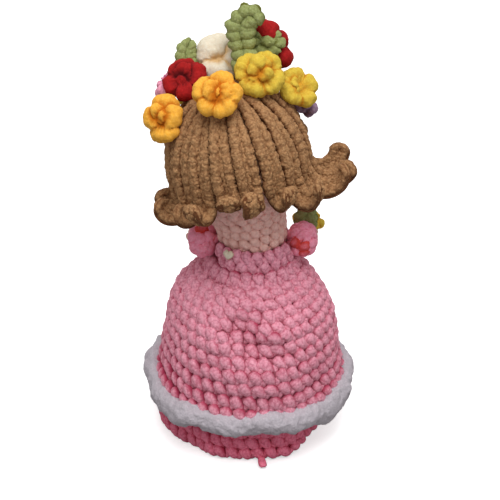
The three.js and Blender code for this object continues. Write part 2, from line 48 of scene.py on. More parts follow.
full_turn = 2 * math.pi


# Numbers, places and turns
def clamp(value):
    """The value, kept between 0 and 1."""
    return min(max(value, 0.0), 1.0)


def degrees_apart(a, b):
    return (a - b + 180) % 360 - 180


def round_end(share):
    """How much of its width a rope has, at a share of the way into its rounded end."""
    return math.sqrt(1 - (1 - clamp(share)) ** 2)


def up_by(height):
    return Vector((0, 0, height))


def outward(angle, radius=1.0, height=0.0):
    """The point at an angle round the upright axis."""
    return Vector((radius * math.cos(angle), radius * math.sin(angle), height))


def turned_by(degrees, axis="Z"):
    return Matrix.Rotation(math.radians(degrees), 4, axis)


def turned_to(direction):
    """The turn that takes Z to a direction."""
    return direction.to_track_quat("Z", "Y").to_matrix().to_4x4()


def axes_of(across, out):
    """The turn that takes X to across and Z to out."""
    return Matrix((across, out.cross(across), out)).transposed().to_4x4()


def middle_of(points):
    return sum(points, Vector()) / len(points)


def walked_along(points):
    """How far along a line each of its points lies."""
    far = [0.0]
    for a, b in zip(points, points[1:]):
        far.append(far[-1] + (b - a).length)
    return far


def put_in_scene(name, data):
    thing = bpy.data.objects.new(name, data)
    bpy.context.scene.collection.objects.link(thing)
    return thing


def mesh_of(bm, name):
    mesh = bpy.data.meshes.new(name)
    bm.to_mesh(mesh)
    bm.free()
    return mesh


# Camera: behind the doll, above its shoulders, as the photograph was taken
camera_distance = 850 * mm
camera_elevation = math.radians(28)
camera_target = Vector((0, 0, 155 * mm))
focal_share = 1090 / 500  # focal length over the picture's width
camera_shift = -2.5 / 500


def aim(thing, place):
    """Puts a lamp or the camera at a place, and turns it to the middle of the doll."""
    thing.location = place
    thing.rotation_euler = (Vector(place) - camera_target).to_track_quat("Z", "Y").to_euler()


def set_camera():
    data = bpy.data.cameras.new("camera")
    data.sensor_width = 36
    data.lens = focal_share * data.sensor_width
    data.shift_x = camera_shift
    data.clip_start, data.clip_end = 0.05, 20
    camera = put_in_scene("camera", data)
    back = Vector((0, math.cos(camera_elevation), math.sin(camera_elevation)))
    aim(camera, camera_target + back * camera_distance)
    bpy.context.scene.camera = camera


set_camera()


# Colours and nodes
def linear(hex_colour):
    """The linear colour of an sRGB hex value."""
    shares = [int(hex_colour[i:i + 2], 16) / 255 for i in (1, 3, 5)]
    return [s / 12.92 if s <= 0.04045 else ((s + 0.055) / 1.055) ** 2.4 for s in shares] + [1.0]


def add(tree, kind, sockets=None, **settings):
    """Adds a node with its settings; sockets gives an input its value, or the output that feeds it."""
    node = tree.nodes.new(kind)
    for key, value in settings.items():
        setattr(node, key, value)
    for key, value in (sockets or {}).items():
        if isinstance(value, bpy.types.NodeSocket):
            tree.links.new(value, node.inputs[key])
        else:
            node.inputs[key].default_value = value
    return node


def new_tree(name):
    material = bpy.data.materials.new(name)
    material.use_nodes = True
    material.node_tree.nodes.clear()
    return material, material.node_tree


# Light: a plain soft studio, brightest from above
white = linear("#ffffff")
world_light = 0.38  # the world lights the doll this much, and shows as full white
lamps = {
    # name: place, size, watts
    "overhead": ((-0.05, 0.5, 1.42), 0.9, 15.0),
    "fill_left": ((1.1, 0.9, 0.7), 0.9, 2.0),
    "fill_right": ((-1.1, 0.9, 0.7), 0.9, 2.2),
    "front": ((0.0, -1.3, 0.8), 1.0, 4.0),
}


def set_light():
    scene = bpy.context.scene
    scene.view_settings.view_transform = "Standard"
    scene.world = bpy.data.worlds.new("studio")
    scene.world.use_nodes = True
    tree = scene.world.node_tree
    tree.nodes.clear()
    rays = add(tree, "ShaderNodeLightPath")
    seen = rays.outputs["Is Camera Ray"]
    for kind in ("Is Glossy Ray", "Is Transmission Ray"):
        seen = add(tree, "ShaderNodeMath", {0: seen, 1: rays.outputs[kind]}, operation="MAXIMUM").outputs[0]
    lamp = add(tree, "ShaderNodeBackground", {"Color": white, "Strength": world_light})
    backdrop = add(tree, "ShaderNodeBackground", {"Color": white, "Strength": 1.0})
    mixed = add(tree, "ShaderNodeMixShader", {0: seen, 1: lamp.outputs[0], 2: backdrop.outputs[0]})
    add(tree, "ShaderNodeOutputWorld", {"Surface": mixed.outputs[0]})
    for name, (place, size, watts) in lamps.items():
        data = bpy.data.lights.new(name, "AREA")
        data.size = size
        data.energy = watts
        aim(put_in_scene(name, data), place)


set_light()
floor_half = 4.0


def lay_floor():
    """A pale floor that shows the doll's shadow; what the camera sees of it is near white."""
    material, tree = new_tree("Paper_White_Floor")
    rays = add(tree, "ShaderNodeLightPath")
    paper = add(tree, "ShaderNodeBsdfDiffuse", {"Color": linear("#f4f4f4")})
    carpet = add(tree, "ShaderNodeBsdfDiffuse", {"Color": linear("#8a8a8a")})
    shine = add(tree, "ShaderNodeEmission", {"Color": white, "Strength": 0.55})
    lit = add(tree, "ShaderNodeAddShader", {0: paper.outputs[0], 1: shine.outputs[0]})
    mixed = add(tree, "ShaderNodeMixShader",
                {0: rays.outputs["Is Camera Ray"], 1: carpet.outputs[0], 2: lit.outputs[0]})
    add(tree, "ShaderNodeOutputMaterial", {"Surface": mixed.outputs[0]})
    bm = bmesh.new()
    bmesh.ops.create_grid(bm, x_segments=1, y_segments=1, size=floor_half)
    mesh = mesh_of(bm, "floor")
    mesh.materials.append(material)
    put_in_scene("floor", mesh)


lay_floor()


# Chenille yarn: a velvety pile on a thin core. Its colour carries painted light and shade: pale where a
# lump's crown stands out, and a deep, saturated painted shade in the creases between stitches and between the
# pile's knobs.
patches_per_m = 85.0  # patches of dye, about 12 mm across
tufts_per_m = 780.0  # drawn 1.3 mm wide, so that they show
knobs_per_m = 450.0  # the pile stands in knobs about 2.2 mm wide
swirls_per_m, swirl_reach = 260.0, 3 * mm  # these bend the knobs' outlines


def chenille(name, pile, crease_shade, nap, crinkle=0.5, shade_between_knobs=0.45):
    """A yarn with the colours of its pile, of the painted shade in its creases, and of its nap."""
    material, tree = new_tree(name)
    place = add(tree, "ShaderNodeTexCoord").outputs["Object"]
    crown = add(tree, "ShaderNodeAttribute", attribute_name="crown").outputs["Fac"]
    patches = add(tree, "ShaderNodeTexNoise", {"Vector": place, "Scale": patches_per_m, "Detail": 2.0})
    tufts = add(tree, "ShaderNodeTexNoise",
                {"Vector": place, "Scale": tufts_per_m, "Detail": 3.0, "Roughness": 0.6})
    swirl = add(tree, "ShaderNodeTexNoise", {"Vector": place, "Scale": swirls_per_m, "Detail": 1.0})
    bent = add(tree, "ShaderNodeVectorMath",
               {0: swirl.outputs["Color"], 1: (swirl_reach, swirl_reach, swirl_reach), 2: place},
               operation="MULTIPLY_ADD")
    knobs = add(tree, "ShaderNodeTexVoronoi", {"Vector": bent.outputs[0], "Scale": knobs_per_m})
    # painted light and shade: the crown lightens what stands out and darkens the creases; patches of dye lie
    # over it
    uneven = add(tree, "ShaderNodeMath", {0: patches.outputs["Fac"], 1: 0.3, 2: crown},
                 operation="MULTIPLY_ADD")
    lit_and_dyed_pile = add(tree, "ShaderNodeMapRange",
                    {"Value": uneven.outputs[0], "From Min": 0.3, "From Max": 1.0},
                    interpolation_type="SMOOTHSTEP")
    ground = add(tree, "ShaderNodeMix", {0: lit_and_dyed_pile.outputs[0], 6: linear(crease_shade), 7: linear(pile)},
                 data_type="RGBA")
    speck = add(tree, "ShaderNodeMapRange",
                {"Value": tufts.outputs["Fac"], "From Min": 0.4, "From Max": 0.72, "To Max": 0.85})
    napped = add(tree, "ShaderNodeMix", {0: speck.outputs[0], 6: ground.outputs[2], 7: linear(nap)},
                 data_type="RGBA")
    tufted = add(tree, "ShaderNodeMix", {0: lit_and_dyed_pile.outputs[0], 6: ground.outputs[2], 7: napped.outputs[2]},
                 data_type="RGBA")
    # painted shade: the creases' colour between the pile's knobs
    gap = add(tree, "ShaderNodeMapRange", {
        "Value": knobs.outputs["Distance"], "From Min": 0.4, "From Max": 0.85, "To Max": shade_between_knobs,
    })
    shown = add(tree, "ShaderNodeMix", {0: gap.outputs[0], 6: tufted.outputs[2], 7: linear(crease_shade)},
                data_type="RGBA")
    fine = add(tree, "ShaderNodeBump",
               {"Height": tufts.outputs["Fac"], "Strength": 0.6, "Distance": 0.5 * mm})
    coarse = add(tree, "ShaderNodeBump",
                 {"Height": knobs.outputs["Distance"], "Strength": crinkle, "Distance": 0.8 * mm,
                  "Normal": fine.outputs[0]}, invert=True)
    yarn = add(tree, "ShaderNodeBsdfPrincipled", {
        "Base Color": shown.outputs[2], "Roughness": 0.95, "Specular IOR Level": 0.15,
        "Sheen Weight": 0.25, "Sheen Roughness": 0.6, "Sheen Tint": linear(nap),
        "Normal": coarse.outputs[0],
    })
    add(tree, "ShaderNodeOutputMaterial", {"Surface": yarn.outputs[0]})
    return material


yarn_rows = {
    # yarn: material's name, slot, colours of its pile, of the painted shade in its creases and of its nap,
    # and where they aren't plain, how crinkled it is and how much of the creases' painted shade shows between
    # its knobs
    "pink": ("Chenille_Pink_Crocheted", "pink_yarn", "#ea9aae", "#aa3854", "#f6b6c6", 0.5, 0.55),
    # the sleeves' lighter copy of the pink yarn: painted light where the hair shades them, and a red-orange
    # painted shade in its creases
    "sleeve": ("Chenille_Pink_Sleeve_Painted_Light_Crocheted", "pink_yarn", "#fc96b2", "#d8443c", "#ffb4c8", 0.5, 0.25),
    "deep_pink": ("Chenille_Deep_Pink_Crocheted", "deep_pink_yarn", "#f07894", "#b42848", "#fa94aa"),
    "skin": ("Chenille_Peach_Crocheted", "skin_yarn", "#f6c4b8", "#c88e82", "#fad4ca", 0.5, 0.3),
    "hair": ("Chenille_Caramel_Crocheted", "brown_yarn", "#a87c54", "#603820", "#bf966c", 0.9, 0.6),
    "green": ("Chenille_Sage_Crocheted", "green_yarn", "#8c9459", "#5a5a1e", "#a4ac78", 0.5, 0.3),
    "lilac": ("Chenille_Lilac_Crocheted", "lilac_yarn", "#a98aa4", "#6c4c68", "#bca2b8"),
    "shoe": ("Chenille_Rose_Crocheted", "shoe_yarn", "#d9607f", "#8c3048", "#e47c96"),
    # Roses: their yarn is worked tight, so its pile lies smooth over the petals
    "amber": ("Chenille_Amber_Crocheted", "amber_yarn", "#f2ae3c", "#c06810", "#fcc258", 0.28, 0.2),
    "yellow": ("Chenille_Yellow_Crocheted", "yellow_yarn", "#d4b43e", "#c07a1c", "#e2c854", 0.28, 0.2),
    "red": ("Chenille_Red_Crocheted", "red_yarn", "#9c1a1a", "#540e12", "#ac2424", 0.28, 0.2),
    "cream": ("Chenille_Cream_Crocheted", "cream_yarn", "#e0d5be", "#d4b07c", "#e8e0ce", 0.28, 0.2),
    "rose_pink": ("Chenille_Rose_Pink_Crocheted", "rose_pink_yarn", "#ec9ab4", "#b85878", "#f4b4c6",
                  0.28, 0.2),
    # Trim: a long-haired yarn, whose pile closes over the stitches and looks like pale fleece; its white is
    # painted pale grey, a painted shade under the overskirt
    "white": ("Faux_Fur_Yarn_White", "white_yarn", "#bab2b9", "#938990", "#c8c0c7", 0.6, 0.2),
}
yarns = {key: chenille(name, *look) for key, (name, _, *look) in yarn_rows.items()}
slots = {key: row[1] for key, row in yarn_rows.items()}


# Meshes
def new_mesh():
    """An empty mesh whose points will say how far out of the creases they stand, as their crown, which sets
    their painted shade.
    """
    bm = bmesh.new()
    bm.verts.layers.float.new("crown")
    return bm


def grid_on(columns, rows, place, crown):
    """A grid of faces whose corner at the shares (u, v) lies at place(u, v); joined where corners meet."""
    bm = new_mesh()
    layer = bm.verts.layers.float["crown"]
    bmesh.ops.create_grid(bm, x_segments=columns, y_segments=rows, size=0.5)
    for vert in bm.verts:
        u, v = vert.co.x + 0.5, vert.co.y + 0.5
        vert.co = place(u, v)
        vert[layer] = crown(u, v)
    bmesh.ops.remove_doubles(bm, verts=bm.verts, dist=0.002 * mm)
    bmesh.ops.recalc_face_normals(bm, faces=bm.faces)
    return bm


side_crown, outer_crown, head_crown = 0.28, 0.72, 0.26  # crown of a loop, which sets its painted shade: at its side, and more outwards and up, where it is painted lighter


def oval(columns, rows, shape, deeper):
    """A closed round mesh whose point at (x, y, z) of the unit ball lies at shape(x, y, z). Its crown, which
    sets its painted shade, is highest on top, and lower all over by deeper, which paints it darker."""
    bm = new_mesh()
    layer = bm.verts.layers.float["crown"]
    bmesh.ops.create_uvsphere(bm, u_segments=columns, v_segments=rows, radius=1)
    for vert in bm.verts:
        vert[layer] = clamp(side_crown - deeper + outer_crown * vert.co.z + head_crown * vert.co.y)
        vert.co = shape(*vert.co)
    return mesh_of(bm, "loop")


def loops_of_yarn(width, height, depth, taper=0.2, columns=14, rows=6, kinds=6, seed=5, deeper=0.0):
    """Some fat loops of yarn that differ a little: broad at the head, +Y up and +Z outwards."""
    draw = random.Random(seed)
    loops = []
    for _ in range(kinds):
        bend, fat = draw.uniform(-0.12, 0.12), draw.uniform(0.12, 0.26)
        dent = draw.uniform(0.0, 0.10)

        def shape(x, y, z):
            squared = 1 + fat * min(abs(x * y) * 2, 1)
            side = x * squared * (1 + taper * y) + bend * y * y
            return side * width / 2, y * height / 2 * squared, (z - dent * (1 - abs(z)) * y) * depth / 2
        loops.append(oval(columns, rows, shape, deeper))
    return loops


def lay(bm, loop, place):
    """Adds a copy of a loop of yarn to bm, moved by the matrix place."""
    copy = loop.copy()
    copy.transform(place)
    bm.from_mesh(copy)
    bpy.data.meshes.remove(copy)


def piece(name, bm, yarn, body, *replaced, slot=None):
    """Makes bm a named piece of the doll, of a yarn and on a body, that stands for the replaced nodes."""
    for vert in bm.verts:
        vert.co.z = max(vert.co.z, 0.0)  # what stands on the floor is pressed flat
    mesh = mesh_of(bm, name)
    mesh.materials.append(yarns[yarn])
    mesh.shade_smooth()
    thing = put_in_scene(f"{name}_crocheted" if name in replaced else name, mesh)
    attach(thing, body)
    slot or slots[yarn]
    if replaced:
        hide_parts(*replaced)
    return thing


# Surfaces, read from the solids
def tree_of(node):
    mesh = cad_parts[node].data
    corners = [v.co.copy() for v in mesh.vertices]
    return BVHTree.FromPolygons(corners, [list(p.vertices) for p in mesh.polygons])


class Skin:
    """The outer side of a solid: at(u, v) with u round its axis and v from its top to its bottom."""
    around, rows, rays_per_row = 72, 36, 3
    far = 0.3

    def __init__(self, node, top, bottom, start, end, seat=Matrix.Identity(4)):
        tree = tree_of(node)
        turn_only = seat.to_3x3()
        self.grid = []
        for i in range(self.around):
            azimuth = full_turn * i / self.around
            line = []
            for j in range(self.rays_per_row * self.rows + 1):
                share = j / (self.rays_per_row * self.rows)
                polar = math.radians(start + (end - start) * share)
                focus = seat @ (top.lerp(bottom, share))
                out = turn_only @ outward(azimuth, math.sin(polar), math.cos(polar))
                hit = tree.ray_cast(focus + out * self.far, -out, self.far)[0]
                if hit is not None:
                    line.append(hit)
            self.grid.append(self.even(line))
        for _ in range(2):
            self.smooth()

    def even(self, line):
        """Points of a line at equal steps along it."""
        lengths = walked_along(line)
        points, k = [], 0
        for j in range(self.rows + 1):
            goal = lengths[-1] * j / self.rows
            while k < len(line) - 2 and lengths[k + 1] < goal:
                k += 1
            step = max(lengths[k + 1] - lengths[k], 1e-9)
            points.append(line[k].lerp(line[k + 1], clamp((goal - lengths[k]) / step)))
        return points

    def smooth(self):
        old, count = self.grid, self.around
        self.grid = [
            [(old[i - 1][j] + 2 * old[i][j] + old[(i + 1) % count][j]) / 4 for j in range(self.rows + 1)]
            for i in range(count)
        ]

    def push(self, azimuth, v, wide, tall, depth, drop=0.0):
        """Pushes the skin in by depth, and its rounds down by drop, about a place; wide is in degrees."""
        for i, line in enumerate(self.grid):
            apart = degrees_apart(360 * i / self.around, azimuth)
            for j, point in enumerate(line):
                near = math.exp(-(apart / wide) ** 2 - ((j / self.rows - v) / tall) ** 2)
                flat = Vector((point.x, point.y, 0)).normalized()
                line[j] = point - flat * depth * near - up_by(drop * near)

    def settle(self, middle, flatness):
        """Brings the skin's middle to a place, and makes it lower by a share of its height."""
        old = middle_of([point for line in self.grid for point in line])
        shrink = Matrix.Diagonal((1, 1, flatness))
        self.grid = [[middle + shrink @ (point - old) for point in line] for line in self.grid]

    def at(self, u, v):
        x = (u % 1.0) * self.around
        y = clamp(v) * self.rows
        i, j = int(x) % self.around, min(int(y), self.rows - 1)
        k = (i + 1) % self.around
        first = self.grid[i][j].lerp(self.grid[k][j], x - int(x))
        second = self.grid[i][j + 1].lerp(self.grid[k][j + 1], x - int(x))
        return first.lerp(second, y - j)

    def seat(self, u, v):
        """The place at (u, v) as a matrix: X round the piece, Y up it and Z outwards."""
        du, dv = 0.5 / self.around, 0.5 / self.rows
        across = self.at(u + du, v) - self.at(u - du, v)
        rise = self.at(u, max(v - dv, 0)) - self.at(u, min(v + dv, 1))
        out = across.cross(rise).normalized()
        across = rise.cross(out).normalized()
        return Matrix.Translation(self.at(u, v)) @ axes_of(across, out)

    def girth(self, v):
        points = [self.at(i / self.around, v) for i in range(self.around)]
        return walked_along(points + points[:1])[-1]

    def length(self):
        """The mean length from edge to edge, of eight lines down the skin."""
        lines = [[self.at(i / 8, j / self.rows) for j in range(self.rows + 1)] for i in range(8)]
        return sum(walked_along(line)[-1] for line in lines) / 8


# One single crochet stitch: its right leg lies on top, and its left leg shows beside its foot.
stitch_width = 10.2 * mm
stitch_height = 9.8 * mm
stitch_depth = 9.4 * mm
stitch_sink = 2.9 * mm  # from the fabric's outer face down to the middle of a loop
stitch_tuck = 19.0  # degrees by which a stitch's foot dips under the round below
ridge_tuck, ridge_plump = 10, 0.16  # how much more it dips, and how much plumper it is, in a ridged fabric
main_aside = 0.7 * mm
side_aside, side_drop, side_sink = 3.9 * mm, 3.0 * mm, 1.1 * mm
plain_lean = 17
loop_shades = [-0.24, -0.13, -0.02, 0.09, 0.2, 0.6]  # painted shade of a stitch's loops, from the lightest to the darkest
# Loops of yarn, main and side legs, for each level of painted shade
legs = [
    (loops_of_yarn(8.5 * mm, 14.0 * mm, stitch_depth, taper=0.24, deeper=shade),
     loops_of_yarn(6.0 * mm, 9.4 * mm, 6.6 * mm, columns=10, rows=5, kinds=4, deeper=shade))
    for shade in loop_shades
]


def lay_stitch(bm, seat, draw, wide, tall, deep, lean, sink, shade=0.0, ridge=0.0):
    """Lays one stitch at a seat, its head outwards and its foot tucked under the round below."""
    # shade picks the copy of the loops with the nearest painted shade
    wished = shade + draw.uniform(-0.04, 0.04)
    main_legs, side_legs = legs[min(range(len(legs)), key=lambda i: abs(loop_shades[i] - wished))]
    tilt = lean + draw.uniform(-9, 9)
    pitch = turned_by(stitch_tuck + ridge_tuck * ridge + draw.uniform(-5, 5), "X")
    swell = draw.uniform(0.93, 1.06) * (1 + ridge_plump * ridge)
    shape = pitch @ Matrix.Diagonal((wide * swell, tall * draw.uniform(0.95, 1.05), deep, 1))
    lift = draw.uniform(-0.5, 0.5) * mm * deep - sink
    main = draw.choice(main_legs)
    foot = Matrix.Translation((main_aside * wide, draw.uniform(-0.5, 0.5) * mm, lift))
    lay(bm, main, seat @ foot @ shape @ turned_by(tilt))
    foot = Matrix.Translation((-side_aside * wide, -side_drop * tall, lift - side_sink * deep))
    lay(bm, draw.choice(side_legs), seat @ foot @ shape @ turned_by(-0.5 * tilt))


def crochet(bm, skin, seed, width=stitch_width, height=stitch_height, keep=None, gathered=0.0, ridged=0.0,
            lean=lambda point: plain_lean, shade_at=lambda point: 0.0):
    """Lays rounds of stitches over a skin, each round with as many as its girth holds. Where the fabric is
    gathered at its top, its upper rounds are lower by that share and its last rounds are taller. The upper
    rounds of a ridged fabric are plumper, and their feet are tucked further in."""
    # shade_at gives the stitches' painted shade at each point
    draw = random.Random(seed)
    size = width / stitch_width
    length = skin.length()
    rows = max(1, round(length / height))
    for row in range(rows):
        share = (row + 0.5) / rows
        tall = length / rows / stitch_height * (1 + gathered * (2 * share - 1))
        v = share * (1 + gathered * (share - 1))
        girth = skin.girth(v)
        count = max(3, round(girth / width))
        wide = girth / count / stitch_width
        for k in range(count):
            u = (k + 0.5 * (row % 2) + draw.uniform(-0.09, 0.09)) / count
            seat = skin.seat(u, v)
            point = seat.translation
            if keep and not keep(point):
                continue
            lay_stitch(bm, seat, draw, wide, tall, size, lean(point), stitch_sink * size, shade_at(point),
                       ridged * (1 - share))


def round_of(bm, middle, radius, slope, seed, lean=plain_lean, shade=0.0):
    """Lays one level round of stitches about a middle, that faces up from level by the slope in degrees."""
    draw = random.Random(seed)
    count = round(full_turn * radius / stitch_width)
    wide = full_turn * radius / count / stitch_width
    rise_up = Matrix(((0, 0, 1, 0), (1, 0, 0, 0), (0, 1, 0, 0), (0, 0, 0, 1)))
    for k in range(count):
        around = turned_by(360 * (k + draw.uniform(-0.09, 0.09)) / count)
        seat = (Matrix.Translation(middle) @ around @ Matrix.Translation((radius, 0, 0))
                @ turned_by(-slope, "Y") @ rise_up)
        lay_stitch(bm, seat, draw, wide, 1.0, 1.0, lean, stitch_sink, shade)


backing_inset, backing_thickness = 3.1 * mm, 1.4 * mm
hidden_crown = 0.42  # crown of the cloth or the stuffing that shows between the stitches: a mid painted shade
# crown of the cloth's inner side: a lighter painted shade
inner_crown = 0.6


def cloth(skin, inset=backing_inset, thickness=backing_thickness, columns=72, rows=36):
    """The closed thin cloth under the stitches, whose outer side shows between them."""
    def place(u, v):
        depth = inset if 0 < v <= 0.5 else inset + thickness
        return skin.seat(u, 2 * v if v <= 0.5 else 2 - 2 * v) @ up_by(-depth)
    return grid_on(columns, 2 * rows, place, lambda u, v: hidden_crown if v <= 0.5 else inner_crown)


def area_of(skin, columns=48, rows=24):
    """The area of a skin, which is worked to its shape and so is as large before it is hung."""
    total = 0.0
    for i in range(columns):
        for j in range(rows):
            a, b = skin.at(i / columns, j / rows), skin.at((i + 1) / columns, j / rows)
            c, d = skin.at(i / columns, (j + 1) / rows), skin.at((i + 1) / columns, (j + 1) / rows)
            total += ((b - a).cross(c - a).length + (b - d).cross(c - d).length) / 2
    return total


def hang(skin):
    """Works out a crocheted sheet's girth at its widest round, its length from edge to edge and its area, and
    keeps none of them.
    """
    girth = max(skin.girth(0), skin.girth(0.5), skin.girth(1))
    skin.length()
    area_of(skin)


def core(skin, inset, columns=48, rows=24):
    """The closed stuffed body under the stitches of a padded piece."""
    ends = [middle_of([skin.at(i / 8, v) for i in range(8)]) for v in (0, 1)]

    def place(u, v):
        if v < 1e-6:
            return ends[0]
        if v > 1 - 1e-6:
            return ends[1]
        return skin.seat(u, v) @ up_by(-inset)
    return grid_on(columns, rows, place, lambda u, v: hidden_crown)


# Skirts
waist = Vector((0, 0, 60 * mm))
skirt_folds = [
    # azimuth in degrees, share down the skirt, half width in degrees, half height, depth, drop of the rounds
    (81, 0.35, 12, 0.09, 6.4 * mm, 1 * mm), (88, 0.45, 11, 0.08, 5.4 * mm, 2 * mm),
    (95, 0.53, 12, 0.08, 2 * mm, 1 * mm), (66, 0.48, 12, 0.12, -2.6 * mm, 0),
    (106, 0.38, 14, 0.10, -2.4 * mm, 0), (92, 0.74, 22, 0.12, -2.4 * mm, 0),
    (100, 0.28, 26, 0.10, 0, 2 * mm), (128, 0.15, 20, 0.12, 2.5 * mm, 0),
    (40, 0.04, 22, 0.08, 3 * mm, 2 * mm), (178, 0.9, 40, 0.4, 3.6 * mm, 0),
]
shaded_folds = skirt_folds[:3]
fold_reach = 13 * mm  # how far from a fold its painted shade goes
overskirt_skin = Skin("overskirt", waist, waist, 21.5, 95)
for fold in skirt_folds:
    overskirt_skin.push(*fold)


def skirt_lean(point):
    """Stitches lean more towards the hem, where the fabric hangs free."""
    return 27 + 17 * clamp((120 * mm - point.z) / (60 * mm))


def skirt_shade(point):
    """Painted light and shade: the stitches are lighter at the top, most of all on the left, and darker
    towards the hem and in the folds."""
    high = clamp((point.z - 55 * mm) / (70 * mm))
    left = clamp(point.x / (45 * mm))
    shade = 0.2 - 0.24 * high - 0.2 * left * high
    for azimuth, v, _, _, depth, _ in shaded_folds:
        away = (point - overskirt_skin.at(azimuth / 360, v)).length / fold_reach
        shade += 0.2 * depth / (6 * mm) * math.exp(-away * away)
    return shade


waist_round_radius, waist_round_height = 35 * mm, 147.5 * mm
hem_radius, hem_height, hem_aside = 75.8 * mm, 50.5 * mm, 1.8 * mm
bm = new_mesh()
# Painted shade: the overskirt's stitches take skirt_shade's, and its hem round a dark one
crochet(bm, overskirt_skin, 11, lean=skirt_lean, gathered=0.26, shade_at=skirt_shade, ridged=1.0)
round_of(bm, up_by(waist_round_height), waist_round_radius, 40, 13)
round_of(bm, Vector((hem_aside, 0, hem_height)), hem_radius, 4, 14, lean=42, shade=0.2)
overskirt_stitches = piece("overskirt_stitches", bm, "pink", "torso")
overskirt = piece("overskirt_cloth", cloth(overskirt_skin), "pink", "torso", "overskirt")
hang(overskirt_skin)

underskirt_skin = Skin("underskirt", up_by(42 * mm), Vector((9 * mm, 0, 42 * mm)), 21, 121)
for fold in [(50, 0.95, 16, 0.3, 7 * mm), (124, 0.9, 13, 0.3, -8 * mm), (98, 1.0, 8, 0.2, 1.5 * mm)]:
    underskirt_skin.push(*fold)
overlap_height = 66 * mm  # above it, the overskirt hides the underskirt's stitches
yarn_end = Vector((-7.5 * mm, 70 * mm, 3.4 * mm))  # the yarn's cut end lies at the hem
bm = new_mesh()
crochet(bm, underskirt_skin, 12, keep=lambda point: point.z < overlap_height, lean=lambda point: 36)
stub = loops_of_yarn(6 * mm, 13 * mm, 5.4 * mm, kinds=1)[0]
lay(bm, stub, Matrix.Translation(yarn_end) @ turned_by(8))
underskirt_stitches = piece("underskirt_stitches", bm, "deep_pink", "torso")
underskirt = piece("underskirt_cloth", cloth(underskirt_skin), "deep_pink", "torso", "underskirt")
hang(underskirt_skin)


# Fluffy edging of the overskirt, sewn under its hem
def shifted_noise(point, size, seed=0.0):
    """Smooth noise from -1 to 1 with bumps of about the given size."""
    return noise.noise(point / size + Vector((seed, 2.7 * seed, -seed)))


class Ring:
    """The middle line and the half thicknesses of a ring-shaped solid that goes round the doll."""
    around, rounds = 60, 3
    far_out, far_up = 100 * mm, 50 * mm

    def __init__(self, node, radius, height):
        tree = tree_of(node)
        self.rows = []
        for i in range(self.around):
            out = outward(full_turn * i / self.around)
            r, z = radius, height
            for _ in range(self.rounds):
                outer = tree.ray_cast(out * (r + self.far_out) + up_by(z), -out)[0].xy.length
                inner = tree.ray_cast(up_by(z), out)[0].xy.length
                half, r = (outer - inner) / 2, (outer + inner) / 2
                above = tree.ray_cast(out * r + up_by(z + self.far_up), up_by(-1))[0].z
                below = tree.ray_cast(out * r + up_by(z - self.far_up), up_by(1))[0].z
                z, tall = (above + below) / 2, (above - below) / 2
            self.rows.append((r, z, half, tall))

    def at(self, u):
        """Radius, height, half width and half height at a share of the way round."""
        x = (u % 1.0) * self.around
        i = int(x) % self.around
        pairs = zip(self.rows[i], self.rows[(i + 1) % self.around])
        return [a + (b - a) * (x - int(x)) for a, b in pairs]


trim_ring = Ring("skirt_trim", 79 * mm, 45 * mm)
trim_proud = 1.4 * mm
trim_inward = 1.5 * mm
trim_wave = 3.2 * mm
trim_drop = 2.6 * mm
trim_high_share = 0.9  # of the solid's height
trim_hangs = [
    # azimuth and half width in degrees, how far it hangs down and how far out
    (18, 17, 5 * mm, 3.5 * mm), (42, 13, 6 * mm, 1.5 * mm), (66, 12, 1.5 * mm, 0), (98, 11, -2.5 * mm, 0),
    (140, 14, 8 * mm, 2 * mm), (158, 14, 3 * mm, 1 * mm), (178, 14, 0, -2 * mm),
    (-16, 20, -7 * mm, 0), (195, 20, -7 * mm, 0),
]
hang_stretch, wave_stretch = 0.45, 0.3  # shares of a drop that widen the edging, as its top stays sewn on
tuft_rows = [
    # how far the pile's tufts stand out, their size, and the noise's seed
    (1.5 * mm, 11 * mm, 0), (1.3 * mm, 5 * mm, 3), (0.9 * mm, 2.4 * mm, 7),
]


def trim_place(u, v):
    radius, height, half, tall = trim_ring.at(u)
    around = full_turn * v
    out = outward(full_turn * u)
    ruffle = trim_wave * (noise.noise(out * 3.4) + 0.6 * noise.noise(out * 8.0 + Vector((5, 1, 3))))
    wave = trim_drop + trim_wave * noise.noise(out * 4.3 + Vector((2, 8, 4)))
    bulge, hanging = -hem_aside, 0.0
    for place, wide, depth, outwards in trim_hangs:
        near = math.exp(-(degrees_apart(360 * u, place) / wide) ** 2)
        hanging += depth * near
        bulge += outwards * near
    stretch = hang_stretch * max(hanging, 0) + wave_stretch * max(wave, 0)
    centre = out * (radius - trim_inward + bulge + 0.4 * ruffle)
    centre += Vector((hem_aside, 0, height - wave - hanging + stretch))
    wide = half + trim_proud + 0.5 * ruffle
    high = trim_high_share * tall + 0.4 * ruffle + stretch
    point = centre + out * math.cos(around) * wide + up_by(math.sin(around) * high)
    fluff = sum(depth * shifted_noise(point, size, seed) for depth, size, seed in tuft_rows)
    return point + (out * math.cos(around) + up_by(math.sin(around))) * fluff


bm = grid_on(380, 38, trim_place, lambda u, v: 0.75 + 0.25 * shifted_noise(trim_place(u, v), 5 * mm, 3))
piece("skirt_trim", bm, "white", "torso", "skirt_trim")


def stitched(name, skin, yarn, body, seed, width=8.6 * mm, height=7.6 * mm, **how):
    """A padded piece: its stuffed core with rounds of stitches over it."""
    bm = core(skin, 3.4 * mm * width / stitch_width)
    crochet(bm, skin, seed, width, height, **how)
    piece(f"{name}_stuffed", bm, yarn, body, name)


sleeve_reach, sleeve_half = 25 * mm, 13 * mm  # the bodice is bare of stitches under the sleeves
bodice_skin = Skin("bodice", up_by(160 * mm), up_by(152 * mm), 76, 104)
